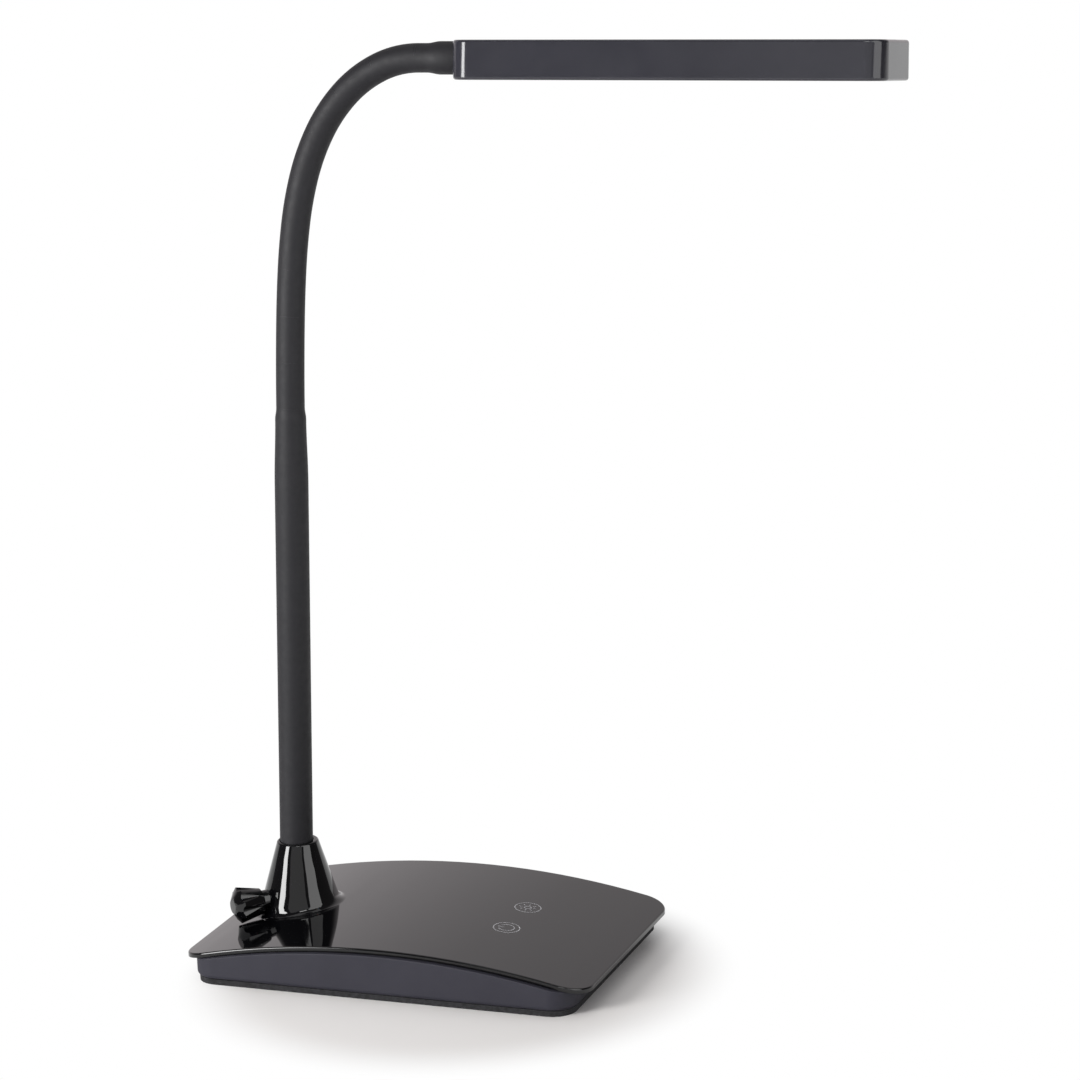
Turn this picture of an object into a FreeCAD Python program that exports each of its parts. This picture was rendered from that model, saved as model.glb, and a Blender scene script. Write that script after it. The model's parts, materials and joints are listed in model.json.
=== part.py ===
import FreeCAD, Part
import math
import os
import re
import Sketcher

# Gooseneck desk lamp, in millimetres. +Z is up, +X runs from the arm to the head's free end.
# The origin is the centre of the base on the desk.

Vector = FreeCAD.Vector
UP = Vector(0, 0, 1)
ALONG = Vector(1, 0, 0)

SIZES = {
    # base: arched plate, tray and pad
    "plate_length": 187.6,
    "plate_width": 120.4,
    "plate_corner": 12.0,
    "plate_thickness": 2.0,
    "plate_edge_round": 0.8,
    "arch_radius": 397.0,
    "crown_height": 22.27,
    "tray_length": 176.5,
    "tray_width": 125.0,
    "tray_corner": 11.0,
    "tray_wall": 2.5,
    "tray_floor": 2.2,
    "tray_foot_round": 2.0,
    "rim_gap": 0.3,
    "rim_round": 0.4,
    "pad_thickness": 2.5,
    "pad_inset": 1.0,
    # base: screws and bosses
    "base_screw_inset": 14.0,
    "tray_boss_radius": 4.5,
    "cover_boss_radius": 3.5,
    "boss_joint_height": 7.2,
    "screw_recess": 2.7,
    "base_screw_radius": 1.2,
    "base_screw_reach": 5.5,
    "screw_head_radius": 2.8,
    "screw_head_height": 1.6,
    "screw_play": 0.4,
    # base: ballast
    "ballast_gap": 2.0,
    "ballast_thickness": 4.0,
    "ballast_corner": 6.0,
    "ballast_hole_radius": 13.0,
    "ballast_screw_inset": 9.0,
    "ballast_screw_radius": 1.5,
    "ballast_screw_bite": 1.6,
    # base: board under the touch marks
    "board_start": -8.0,
    "board_length": 65.0,
    "board_width": 50.0,
    "board_thickness": 1.6,
    "board_height": 12.0,
    "board_screw_inset": 4.0,
    "board_post_radius": 3.0,
    "board_screw_radius": 1.1,
    "board_screw_bite": 2.0,
    "touch_x": 42.1,
    "touch_y": 13.5,
    "touch_radius": 5.5,
    "touch_gap": 0.1,
    "part_spacing": 14.0,
    "chip_side": 6.0,
    "chip_height": 1.2,
    "inductor_side": 7.0,
    "inductor_height": 3.5,
    "diode_length": 4.0,
    "diode_width": 2.6,
    "diode_height": 1.8,
    "capacitor_side": 5.0,
    "capacitor_height": 3.2,
    # base: DC inlet
    "inlet_x": 5.0,
    "inlet_height": 11.5,
    "inlet_depth": 11.0,
    "inlet_side": 9.0,
    "inlet_barrel_radius": 4.1,
    "inlet_bore_radius": 2.75,
    "inlet_bore_depth": 9.0,
    "inlet_pin_radius": 0.65,
    "inlet_pin_recess": 1.0,
    "lead_radius": 0.8,
    "lead_spacing": 4.0,
    "plug_side": 8.0,
    "plug_height": 2.8,
    # cone
    "cone_x": -61.5,
    "cone_height": 48.0,
    "cone_rim_radius": 9.15,
    "cone_flare": 0.30,
    "cone_rim_round": 1.0,
    "cone_foot_round": 3.5,
    "cone_wall": 2.6,
    "cone_cap_depth": 13.5,
    # turning tube and what carries it
    "entry_x": -62.1,
    "entry_height": 47.6,
    "tube_rake": 2.4,
    "tube_radius": 6.15,
    "tube_bore_radius": 4.95,
    "mouth_radius": 7.7,
    "guide_radius": 10.0,
    "guide_depth": 32.0,
    "guide_overlap": 2.0,
    "bush_radius": 7.45,
    "bush_depth": 14.0,
    "bush_flange_radius": 9.6,
    "bush_flange": 1.2,
    "washer_thickness": 0.8,
    "washer_radius": 9.0,
    "retainer_flats": 17.0,
    "retainer_height": 3.0,
    "running_gap": 0.05,
    "end_gap": 0.1,
    "free_gap": 0.3,
    "overrun": 1.0,
    # clamp knob
    "clamp_height": 22.3,
    "clamp_azimuth": 48.0,
    "clamp_boss_radius": 4.6,
    "clamp_boss_reach": 17.5,
    "pad_radius": 2.9,
    "clamp_travel": 0.8,
    "insert_radius": 3.4,
    "stud_radius": 2.45,
    "knob_start": 18.2,
    "knob_throat_radius": 5.9,
    "knob_radius": 8.1,
    "knob_flare_length": 10.2,
    "knob_dome_length": 3.0,
    "knob_face_radius": 3.2,
    "knob_bore_depth": 8.0,
    "flute_count": 8,
    "flute_start": 2.0,
    "flute_tip_radius": 0.25,
    "flute_radius": 3.4,
    "flute_depth": 1.6,
    # sleeve and gooseneck
    "lower_sleeve_radius": 7.375,
    "sleeve_shoulder_height": 212.0,
    "sleeve_neck_height": 240.0,
    "sleeve_neck_radius": 6.75,
    "sleeve_end_height": 245.0,
    "tube_top_height": 236.0,
    "root_overlap": 20.0,
    "hose_radius": 6.2,
    "core_radius": 4.95,
    "sleeve_play": 0.05,
    "core_bore_radius": 1.7,
    "cable_radius": 1.4,
    "socket_gap": 0.3,
    "first_joint_height": 255.45,
    "link_length": 20.0,
    "link_count": 8,
    "bend_power": 2.27,
    "bend_start": 2.0,
    "neck_lean": 6.2,
    "lean_links": 3.0,
    # head
    "head_reach": 31.9,
    "head_drop": 0.8,
    "head_length": 185.8,
    "head_width": 48.0,
    "head_thickness": 16.5,
    "head_corner": 8.6,
    "head_edge_round": 1.3,
    "head_wall": 2.0,
    "head_sleeve_radius": 7.0,
    "head_flare_start": 18.0,
    "head_flare_end": 12.0,
    "spigot_depth": 22.0,
    "saddle_start": 2.0,
    "saddle_length": 14.0,
    "saddle_width": 19.0,
    "saddle_wall": 0.6,
    "saddle_screw_y": 7.3,
    "small_screw_radius": 1.0,
    "small_head_radius": 2.0,
    "small_head_height": 1.3,
    "small_screw_bite": 1.2,
    "spreader_start": 27.0,
    "spreader_end_gap": 8.0,
    "spreader_width": 37.0,
    "spreader_thickness": 1.5,
    "spreader_height": -0.7,
    "spreader_notch_length": 6.0,
    "spreader_notch_width": 8.0,
    "led_board_inset": 1.0,
    "led_board_thickness": 1.2,
    "head_post_radius": 2.6,
    "head_post_inset": 8.0,
    "head_post_y": 14.5,
    "led_rows": 2,
    "led_columns": 18,
    "led_row_y": 8.0,
    "led_length": 2.8,
    "led_width": 3.5,
    "led_height": 0.8,
    "led_inset": 7.0,
    "bezel_thickness": 1.6,
    "bezel_lip": 1.5,
    "bezel_lip_height": 1.6,
    "diffuser_thickness": 1.5,
    "diffuser_gap": 1.9,
    "diffuser_width": 34.0,
    "diffuser_ledge": 2.0,
    "diffuser_corner": 1.0,
    "wire_radius": 0.6,
    "wire_spacing": 1.6,
    "wire_drop_x": 30.0,
    "wire_bend": 1.1,
}

doc = FreeCAD.newDocument("GooseneckDeskLamp")
sizes = doc.addObject("Spreadsheet::Sheet", "Sizes")
for row, (alias, number) in enumerate(SIZES.items(), start=1):
    sizes.set(f"A{row}", alias)
    sizes.set(f"B{row}", str(number))
    sizes.setAlias(f"B{row}", alias)
doc.recompute()

# A piece's height on the arch: its crown less the drop at a distance across it.
ARCH_DROP = "(arch_radius - sqrt(arch_radius^2 - ({0})^2))"
PLATE_TOP = "crown_height - " + ARCH_DROP
PLATE_UNDERSIDE = PLATE_TOP + " - plate_thickness"
FLOOR_TOP = "pad_thickness + tray_floor"
BALLAST_TOP = FLOOR_TOP + " + ballast_thickness"
BOARD_TOP = "board_height + board_thickness"
SCREW_SEAT = "pad_thickness + screw_recess"
BASE_SCREW_X = "(tray_length / 2 - base_screw_inset)"
BASE_SCREW_Y = "(tray_width / 2 - base_screw_inset)"
BALLAST_LENGTH = f"2 * ({BASE_SCREW_X} - tray_boss_radius - ballast_gap)"
BALLAST_WIDTH = "tray_width - 2 * (tray_wall + inlet_depth + ballast_gap)"
BALLAST_SCREW_X = f"(({BALLAST_LENGTH}) / 2 - ballast_screw_inset)"
BALLAST_SCREW_Y = f"(({BALLAST_WIDTH}) / 2 - ballast_screw_inset)"

nodes = []


def formula(text):
    """A formula in the sheet's own names, with each alias written out in full."""
    return re.sub(r"[a-z][a-z_]*", lambda word: "Sizes." + word[0] if word[0] in SIZES else word[0], text)


def value(text):
    return float(sizes.evalExpression(formula(text)))


def bind(thing, **formulas):
    for name, text in formulas.items():
        thing.setExpression(name.replace("__", "."), formula(text))


def node(thing, label, place=None):
    """A finished sub-part: it gets its own label and, where it isn't built in place, its placement."""
    thing.Label = label
    if place is not None:
        thing.Placement = place
    nodes.append(thing)
    return thing


def set_base(thing, spot):
    bind(thing, Placement__Base__x=spot[0], Placement__Base__y=spot[1], Placement__Base__z=spot[2])


def box(name, x, y, z):
    """A block between two planes on each axis, each pair given as formulas."""
    block = doc.addObject("Part::Box", name)
    bind(block, Length=f"({x[1]}) - ({x[0]})", Width=f"({y[1]}) - ({y[0]})", Height=f"({z[1]}) - ({z[0]})")
    set_base(block, (x[0], y[0], z[0]))
    return block


def post(name, radius, x, y, z):
    """An upright cylinder between two heights."""
    round_bar = doc.addObject("Part::Cylinder", name)
    bind(round_bar, Radius=radius, Height=f"({z[1]}) - ({z[0]})")
    set_base(round_bar, (x, y, z[0]))
    return round_bar


def bar(name, radius, length, place):
    """A cylinder that starts at a placement and runs along its own Z."""
    round_bar = doc.addObject("Part::Cylinder", name)
    bind(round_bar, Radius=radius, Height=length)
    round_bar.Placement = place
    return round_bar


def fuse(name, pieces):
    joined = doc.addObject("Part::MultiFuse", name)
    joined.Shapes = pieces
    return joined


def cut(name, base, tool):
    left = doc.addObject("Part::Cut", name)
    left.Base = base
    left.Tool = tool
    return left


def common(name, pieces):
    shared = doc.addObject("Part::MultiCommon", name)
    shared.Shapes = pieces
    return shared


def group(name, pieces):
    """Separate solids that share one node."""
    together = doc.addObject("Part::Compound", name)
    together.Links = pieces
    return together


def arc_between(start, end, radius, side):
    """The short arc between two points that bulges to one side of the way from start to end."""
    middle = (start + end) * 0.5
    half = (end - start) * 0.5
    height = radius - math.sqrt(radius ** 2 - half.Length ** 2)
    across = Vector(half.y, -half.x, 0).normalize() * side
    return Part.Arc(start, middle + across * height, end)


def pin_point(sketch, geometry, position, text, kind, axis):
    """Hold a point on an axis, or at its distance from it."""
    if text == "0":
        sketch.addConstraint(Sketcher.Constraint("PointOnObject", geometry, position, axis))
        return
    held = sketch.addConstraint(Sketcher.Constraint(kind, -1, 1, geometry, position, value(text)))
    sketch.setExpression(f"Constraints[{held}]", formula(text))


def outline(body, role, points, lift="0"):
    """A closed outline in one of the body's own planes. A point is (across, up) and starts a straight edge,
    or (across, up, radius, side) and starts an arc that bulges to that side: 1 right, -1 left."""
    sketch = body.newObject("Sketcher::SketchObject", body.Name + "_outline")
    plane = next(item for item in body.Origin.OriginFeatures if item.Role == role)
    sketch.AttachmentSupport = [(plane, "")]
    sketch.MapMode = "FlatFace"
    sketch.setExpression("AttachmentOffset.Base.z", formula(lift))
    spots = [Vector(value(point[0]), value(point[1]), 0) for point in points]
    ends = []
    for index, point in enumerate(points):
        start, end = spots[index], spots[(index + 1) % len(spots)]
        if len(point) == 2:
            sketch.addGeometry(Part.LineSegment(start, end))
            ends.append((1, 2))
            continue
        arc = arc_between(start, end, value(point[2]), point[3])
        sketch.addGeometry(arc)
        first = sketch.getPoint(index, 1)
        ends.append((1, 2) if first.distanceToPoint(start) < first.distanceToPoint(end) else (2, 1))
        held = sketch.addConstraint(Sketcher.Constraint("Radius", index, value(point[2])))
        sketch.setExpression(f"Constraints[{held}]", formula(point[2]))
    for index, point in enumerate(points):
        after = (index + 1) % len(points)
        sketch.addConstraint(Sketcher.Constraint("Coincident", index, ends[index][1], after, ends[after][0]))
        pin_point(sketch, index, ends[index][0], point[0], "DistanceX", -2)
        pin_point(sketch, index, ends[index][0], point[1], "DistanceY", -1)
    return sketch


def turned(name, points):
    """A body turned about its own Z from an outline of (radius, height)."""
    body = doc.addObject("PartDesign::Body", name)
    sketch = outline(body, "XZ_Plane", points)
    revolution = body.newObject("PartDesign::Revolution", name + "_turn")
    revolution.Profile = sketch
    revolution.ReferenceAxis = (sketch, ["V_Axis"])
    revolution.Angle = 360
    doc.recompute()
    return body


def round_edges(body, base, radius, wanted):
    """Round every edge of a body's last feature that the test picks."""
    edges = [f"Edge{number}" for number, edge in enumerate(base.Shape.Edges, start=1) if wanted(edge)]
    rounding = body.newObject("PartDesign::Fillet", body.Name + "_round")
    rounding.Base = (base, edges)
    bind(rounding, Radius=radius)
    doc.recompute()
    return rounding


def is_upright(edge):
    return len(edge.Vertexes) == 2 and abs(edge.tangentAt(edge.FirstParameter).z) > 0.999


def is_level_at(height):
    return lambda edge: all(abs(vertex.Z - height) < 1e-4 for vertex in edge.Vertexes)


def rounded_slab(name, x, y, z, corner):
    """A slab with rounded upright corners, padded from its outline."""
    body = doc.addObject("PartDesign::Body", name)
    sketch = outline(body, "XY_Plane", [(x[0], y[0]), (x[1], y[0]), (x[1], y[1]), (x[0], y[1])], z[0])
    pad = body.newObject("PartDesign::Pad", name + "_pad")
    pad.Profile = sketch
    bind(pad, Length=f"({z[1]}) - ({z[0]})")
    doc.recompute()
    return body, round_edges(body, pad, corner, is_upright)


def half(text):
    return (f"-({text}) / 2", f"({text}) / 2")


def round_shape(name, source, rounds):
    """Round edges of a finished shape: each entry is a radius and the test that picks its edges."""
    rounding = doc.addObject("Part::Fillet", name)
    rounding.Base = source
    doc.recompute()
    picked = []
    for radius, wanted in rounds:
        length = value(radius)
        picked += [(number, length, length) for number, edge in enumerate(source.Shape.Edges, start=1)
                   if wanted(edge)]
    rounding.Edges = picked
    return rounding


def pipe(name, points, radius, bend):
    """A round lead along straight runs joined by arcs of one radius."""
    edges = []
    here = points[0]
    for before, corner, after in zip(points, points[1:], points[2:]):
        arriving = (corner - before).normalize()
        leaving = (after - corner).normalize()
        turn = arriving.getAngle(leaving)
        setback = bend * math.tan(turn / 2)
        first = corner - arriving * setback
        last = corner + leaving * setback
        inward = (leaving - arriving).normalize()
        middle = corner + inward * (bend / math.cos(turn / 2) - bend)
        edges.append(Part.LineSegment(here, first).toShape())
        edges.append(Part.Arc(first, middle, last).toShape())
        here = last
    edges.append(Part.LineSegment(here, points[-1]).toShape())
    path = Part.Wire(edges)
    section = Part.Wire(Part.Circle(points[0], (points[1] - points[0]).normalize(), radius).toShape())
    lead = doc.addObject("Part::Feature", name)
    lead.Shape = path.makePipeShell([section], True, True)
    return lead


def arch_cylinder(name, radius):
    """The long cylinder that gives the plate its arch, lying along Y."""
    roll = doc.addObject("Part::Cylinder", name)
    bind(roll, Radius=radius, Height="tray_width * 2")
    roll.Placement = FreeCAD.Placement(Vector(0, 0, 0), FreeCAD.Rotation(ALONG, 90))
    set_base(roll, ("0", "tray_width", "crown_height - arch_radius"))
    return roll


def on_arch(radius):
    """Picks the edges that lie on the arch of this radius."""
    axis_height = value("crown_height - arch_radius")

    def wanted(edge):
        spots = [edge.valueAt(edge.FirstParameter + (edge.LastParameter - edge.FirstParameter) * share)
                 for share in (0, 0.3, 0.7, 1)]
        return all(abs(math.hypot(spot.x, spot.z - axis_height) - radius) < 1e-3 for spot in spots)
    return wanted


# Placements of the slanted tube and of the knob's stud.
RAKE = math.radians(value("tube_rake"))
TUBE_AXIS = Vector(math.sin(RAKE), 0, math.cos(RAKE))
ENTRY = Vector(value("entry_x"), 0, value("entry_height"))
TUBE_TURN = FreeCAD.Rotation(UP, TUBE_AXIS)
AZIMUTH = math.radians(value("clamp_azimuth"))
CLAMP_AXIS = Vector(-math.cos(AZIMUTH), -math.sin(AZIMUTH), 0)
CLAMP_TURN = FreeCAD.Rotation(UP, CLAMP_AXIS)


def on_tube(depth):
    """A placement on the tube's axis, this far below the cone's mouth."""
    return FreeCAD.Placement(ENTRY - TUBE_AXIS * depth, TUBE_TURN)


def tube_point(height):
    """The point of the tube's axis at a height above the desk."""
    return ENTRY + TUBE_AXIS * ((height - ENTRY.z) / TUBE_AXIS.z)


def on_clamp(distance):
    """A placement on the knob's axis, this far out from the tube's axis."""
    return FreeCAD.Placement(tube_point(value("clamp_height")) + CLAMP_AXIS * distance, CLAMP_TURN)


def corners(x, y):
    """The four places that mirror one spot of the base, as formulas."""
    return [(f"{side} * {x}", f"{edge} * {y}") for side in (-1, 1) for edge in (-1, 1)]


# Base tray and pad

tray_blank, tray_slab = rounded_slab("tray_blank", half("tray_length"), half("tray_width"),
                                     ("pad_thickness", "crown_height"), "tray_corner")
round_edges(tray_blank, tray_slab, "tray_foot_round", is_level_at(value("pad_thickness")))
tray_arch = arch_cylinder("tray_arch", "arch_radius - plate_thickness - rim_gap")
tray_arched = common("tray_arched", [tray_blank, tray_arch])
tray_rounded = round_shape("tray_rounded", tray_arched,
                           [("rim_round", on_arch(value("arch_radius - plate_thickness - rim_gap")))])
tray_hollow, _ = rounded_slab("tray_hollow", half("tray_length - 2 * tray_wall"),
                              half("tray_width - 2 * tray_wall"),
                              (FLOOR_TOP, "crown_height + plate_thickness"), "tray_corner - tray_wall")
tray_shell = cut("tray_shell", tray_rounded, tray_hollow)
tray_bosses = [post(f"tray_boss_{number}", "tray_boss_radius", x, y,
                    ("pad_thickness + tray_floor / 2", "boss_joint_height"))
               for number, (x, y) in enumerate(corners(BASE_SCREW_X, BASE_SCREW_Y))]
tray_holes = []
for number, (x, y) in enumerate(corners(BASE_SCREW_X, BASE_SCREW_Y)):
    tray_holes.append(post(f"tray_recess_{number}", "screw_head_radius + screw_play", x, y,
                           ("0", "pad_thickness + screw_recess")))
    tray_holes.append(post(f"tray_hole_{number}", "base_screw_radius + screw_play", x, y,
                           ("0", "boss_joint_height + overrun")))
for number, (x, y) in enumerate(corners(BALLAST_SCREW_X, BALLAST_SCREW_Y)):
    tray_holes.append(post(f"tray_pilot_{number}", "ballast_screw_radius", x, y,
                           (f"{FLOOR_TOP} - ballast_screw_bite", "boss_joint_height")))
inlet_hole = bar("tray_inlet_hole", "inlet_barrel_radius", "tray_wall * 3",
                 FreeCAD.Placement(Vector(0, 0, 0), FreeCAD.Rotation(ALONG, -90)))
set_base(inlet_hole, ("inlet_x", "tray_width / 2 - tray_wall * 2", "inlet_height"))
tray_holes.append(inlet_hole)
node(cut("tray_cut", fuse("tray_with_bosses", [tray_shell] + tray_bosses),
         fuse("tray_openings", tray_holes)), "base_housing")

pad_slab, _ = rounded_slab("pad_slab", half("tray_length - 2 * pad_inset"), half("tray_width - 2 * pad_inset"),
                           ("0", "pad_thickness"), "tray_corner - pad_inset")
node(pad_slab, "base_pad")

# Arched cover with the cone

plate_blank, _ = rounded_slab("plate_blank", half("plate_length"), half("plate_width"),
                              ("0", "crown_height + plate_thickness"), "plate_corner")
plate_arched = common("plate_arched", [plate_blank, arch_cylinder("plate_arch", "arch_radius")])
CONE_RADIUS_AT = "(cone_rim_radius + cone_flare * (cone_height - ({0})))"
cone_blank = turned("cone_blank", [
    ("0", "pad_thickness"),
    (CONE_RADIUS_AT.format("pad_thickness"), "pad_thickness"),
    ("cone_rim_radius", "cone_height"),
    ("0", "cone_height"),
])
round_edges(cone_blank, cone_blank.Tip, "cone_rim_round", is_level_at(value("cone_height")))
set_base(cone_blank, ("cone_x", "0", "0"))
cover_solid = fuse("cover_solid", [plate_arched, cone_blank])
doc.recompute()


def on_cone_foot(edge):
    """Picks the edge where the cone meets the plate."""
    spot = edge.valueAt((edge.FirstParameter + edge.LastParameter) / 2)
    reach = math.hypot(spot.x - value("cone_x"), spot.y)
    flank = value(CONE_RADIUS_AT.format(spot.z))
    return abs(reach - flank) < 0.01 and on_arch(value("arch_radius"))(edge)


def on_plate_edge(edge):
    """Picks the rim of the plate's top face."""
    spot = edge.valueAt((edge.FirstParameter + edge.LastParameter) / 2)
    near_end = abs(spot.x) > value("plate_length / 2 - plate_corner")
    near_side = abs(spot.y) > value("plate_width / 2 - plate_corner")
    return (near_end or near_side) and on_arch(value("arch_radius"))(edge)


cover_rounded = round_shape("cover_rounded", cover_solid,
                            [("plate_edge_round", on_plate_edge), ("cone_foot_round", on_cone_foot)])
cone_cavity = turned("cone_cavity", [
    ("0", "pad_thickness"),
    (CONE_RADIUS_AT.format("pad_thickness") + " - cone_wall", "pad_thickness"),
    (CONE_RADIUS_AT.format("cone_height - cone_cap_depth") + " - cone_wall", "cone_height - cone_cap_depth"),
    ("0", "cone_height - cone_cap_depth"),
])
set_base(cone_cavity, ("cone_x", "0", "0"))
under_arch = arch_cylinder("under_arch", "arch_radius - plate_thickness")
cover_skin = cut("cover_skin", cover_rounded, fuse("cover_underside", [under_arch, cone_cavity]))
MID_PLATE = PLATE_TOP + " - plate_thickness / 2"
cover_bosses = [post(f"cover_boss_{number}", "cover_boss_radius", x, y,
                     ("boss_joint_height", MID_PLATE.format(BASE_SCREW_X + " + cover_boss_radius")))
                for number, (x, y) in enumerate(corners(BASE_SCREW_X, BASE_SCREW_Y))]
BOARD_POSTS = [(x, f"{side} * (board_width / 2 - board_screw_inset)")
               for x in ("board_start + board_screw_inset", "board_start + board_length - board_screw_inset")
               for side in (-1, 1)]
cover_bosses += [post(f"board_post_{number}", "board_post_radius", x, y,
                      (BOARD_TOP, MID_PLATE.format(f"abs({x}) + board_post_radius")))
                 for number, (x, y) in enumerate(BOARD_POSTS)]
guide = bar("guide", "guide_radius", "guide_depth - cone_cap_depth + guide_overlap",
            on_tube(value("guide_depth")))
clamp_boss = bar("clamp_boss", "clamp_boss_radius", "clamp_boss_reach - guide_radius + overrun",
                 on_clamp(value("guide_radius - overrun")))
cover_holes = [
    bar("bush_bore", "bush_radius", "guide_depth", on_tube(value("guide_depth + overrun"))),
    bar("mouth_bore", "mouth_radius", "bush_depth + 2 * overrun", on_tube(value("bush_depth"))),
    bar("pad_bore", "pad_radius + running_gap", "guide_radius", on_clamp(value("tube_radius"))),
    bar("insert_bore", "insert_radius", "clamp_boss_reach", on_clamp(value("guide_radius"))),
]
cover_holes += [post(f"cover_pilot_{number}", "base_screw_radius", x, y,
                     ("boss_joint_height - overrun", SCREW_SEAT + " + base_screw_reach + free_gap"))
                for number, (x, y) in enumerate(corners(BASE_SCREW_X, BASE_SCREW_Y))]
cover_holes += [post(f"post_pilot_{number}", "board_screw_radius", x, y,
                     (BOARD_TOP + " - overrun", BOARD_TOP + " + board_screw_bite"))
                for number, (x, y) in enumerate(BOARD_POSTS)]
node(cut("cover_cut", fuse("cover_with_bosses", [cover_skin, guide, clamp_boss] + cover_bosses),
         fuse("cover_openings", cover_holes)), "base_cover")

# Fasteners, ballast and pad of the base


def screw(name, head_radius, head_height, shank_radius, shank_length, place):
    """A screw whose head starts at the placement and whose shank runs on along the same axis."""
    head = bar(name + "_head", head_radius, head_height, place)
    shank = bar(name + "_shank", shank_radius, f"{head_height} + {shank_length}", place)
    return fuse(name, [head, shank])


def screw_spot(x, y, z, turn=FreeCAD.Rotation()):
    return FreeCAD.Placement(Vector(value(x), value(y), value(z)), turn)


DOWNWARD = FreeCAD.Rotation(ALONG, 180)
node(group("base_screw_set", [
    screw(f"base_screw_{number}", "screw_head_radius", "screw_head_height", "base_screw_radius",
          "base_screw_reach", screw_spot(x, y, SCREW_SEAT + " - screw_head_height"))
    for number, (x, y) in enumerate(corners(BASE_SCREW_X, BASE_SCREW_Y))]), "base_screws")

ballast_blank, _ = rounded_slab("ballast_blank", half(BALLAST_LENGTH), half(BALLAST_WIDTH),
                                (FLOOR_TOP, BALLAST_TOP), "ballast_corner")
ballast_holes = [post("ballast_hole", "ballast_hole_radius", "cone_x", "0", ("0", BALLAST_TOP + " + overrun"))]
ballast_holes += [post(f"ballast_screw_hole_{number}", "ballast_screw_radius", x, y,
                       ("0", BALLAST_TOP + " + overrun"))
                  for number, (x, y) in enumerate(corners(BALLAST_SCREW_X, BALLAST_SCREW_Y))]
node(cut("ballast_cut", ballast_blank, fuse("ballast_openings", ballast_holes)), "ballast_plate")
node(group("ballast_screw_set", [
    screw(f"ballast_screw_{number}", "screw_head_radius", "screw_head_height", "ballast_screw_radius",
          "ballast_thickness + ballast_screw_bite",
          screw_spot(x, y, BALLAST_TOP + " + screw_head_height", DOWNWARD))
    for number, (x, y) in enumerate(corners(BALLAST_SCREW_X, BALLAST_SCREW_Y))]), "ballast_screws")

# Board under the touch marks

board_blank = box("board_blank", ("board_start", "board_start + board_length"), half("board_width"),
                  ("board_height", BOARD_TOP))
board_holes = fuse("board_holes", [
    post(f"board_hole_{number}", "board_screw_radius", x, y, ("0", BOARD_TOP + " + overrun"))
    for number, (x, y) in enumerate(BOARD_POSTS)])
node(cut("board_cut", board_blank, board_holes), "control_board")
node(group("board_screw_set", [
    screw(f"board_screw_{number}", "small_head_radius", "small_head_height", "board_screw_radius",
          "board_thickness + board_screw_bite", screw_spot(x, y, "board_height - small_head_height"))
    for number, (x, y) in enumerate(BOARD_POSTS)]), "board_screws")
TOUCH_TOP = PLATE_UNDERSIDE.format("touch_x + touch_radius") + " - touch_gap"
node(group("touch_pair", [post(f"touch_disc_{side + 1}", "touch_radius", "touch_x", f"{side} * touch_y",
                               (BOARD_TOP, TOUCH_TOP)) for side in (-1, 1)]), "touch_electrodes")


def on_board(name, x, y, length, width, height):
    """A component that stands on the board, about a centre measured from the middle of the board's start."""
    return box(name, (f"board_start + {x} - {length} / 2", f"board_start + {x} + {length} / 2"),
               (f"{y} - {width} / 2", f"{y} + {width} / 2"), (BOARD_TOP, f"{BOARD_TOP} + {height}"))


PLUG_Z = ("board_height - plug_height", "board_height")
INLET_PLUG_Y = ("board_width / 2 - plug_side", "board_width / 2")
components = [
    on_board("inductor", "part_spacing", "0", "inductor_side", "inductor_side", "inductor_height"),
    on_board("driver_chip", "2 * part_spacing", "0", "chip_side", "chip_side", "chip_height"),
    on_board("touch_chip", "3 * part_spacing", "0", "chip_side", "chip_side", "chip_height"),
    on_board("diode", "2 * part_spacing", "-part_spacing", "diode_length", "diode_width", "diode_height"),
    on_board("near_capacitor", "part_spacing", "-part_spacing", "capacitor_side", "capacitor_side",
             "capacitor_height"),
    on_board("far_capacitor", "part_spacing", "part_spacing", "capacitor_side", "capacitor_side",
             "capacitor_height"),
    box("arm_plug", ("board_start", "board_start + plug_side"), half("plug_side"), PLUG_Z),
    box("inlet_plug", ("inlet_x - plug_side / 2", "inlet_x + plug_side / 2"), INLET_PLUG_Y, PLUG_Z),
]
node(group("component_set", components), "driver_components")

# DC inlet on the side turned away from the user

INLET_Y = ("tray_width / 2 - tray_wall - inlet_depth", "tray_width / 2 - tray_wall")
INLET_SPAN = [("inlet_x - inlet_side / 2", "inlet_x + inlet_side / 2"), INLET_Y,
              ("inlet_height - inlet_side / 2", "inlet_height + inlet_side / 2")]
OUTWARD = FreeCAD.Rotation(ALONG, -90)


def inlet_bar(name, radius, start, end):
    """A cylinder on the inlet's axis, between two places across the base."""
    round_bar = bar(name, radius, f"({end}) - ({start})", FreeCAD.Placement(Vector(0, 0, 0), OUTWARD))
    set_base(round_bar, ("inlet_x", start, "inlet_height"))
    return round_bar


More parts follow.
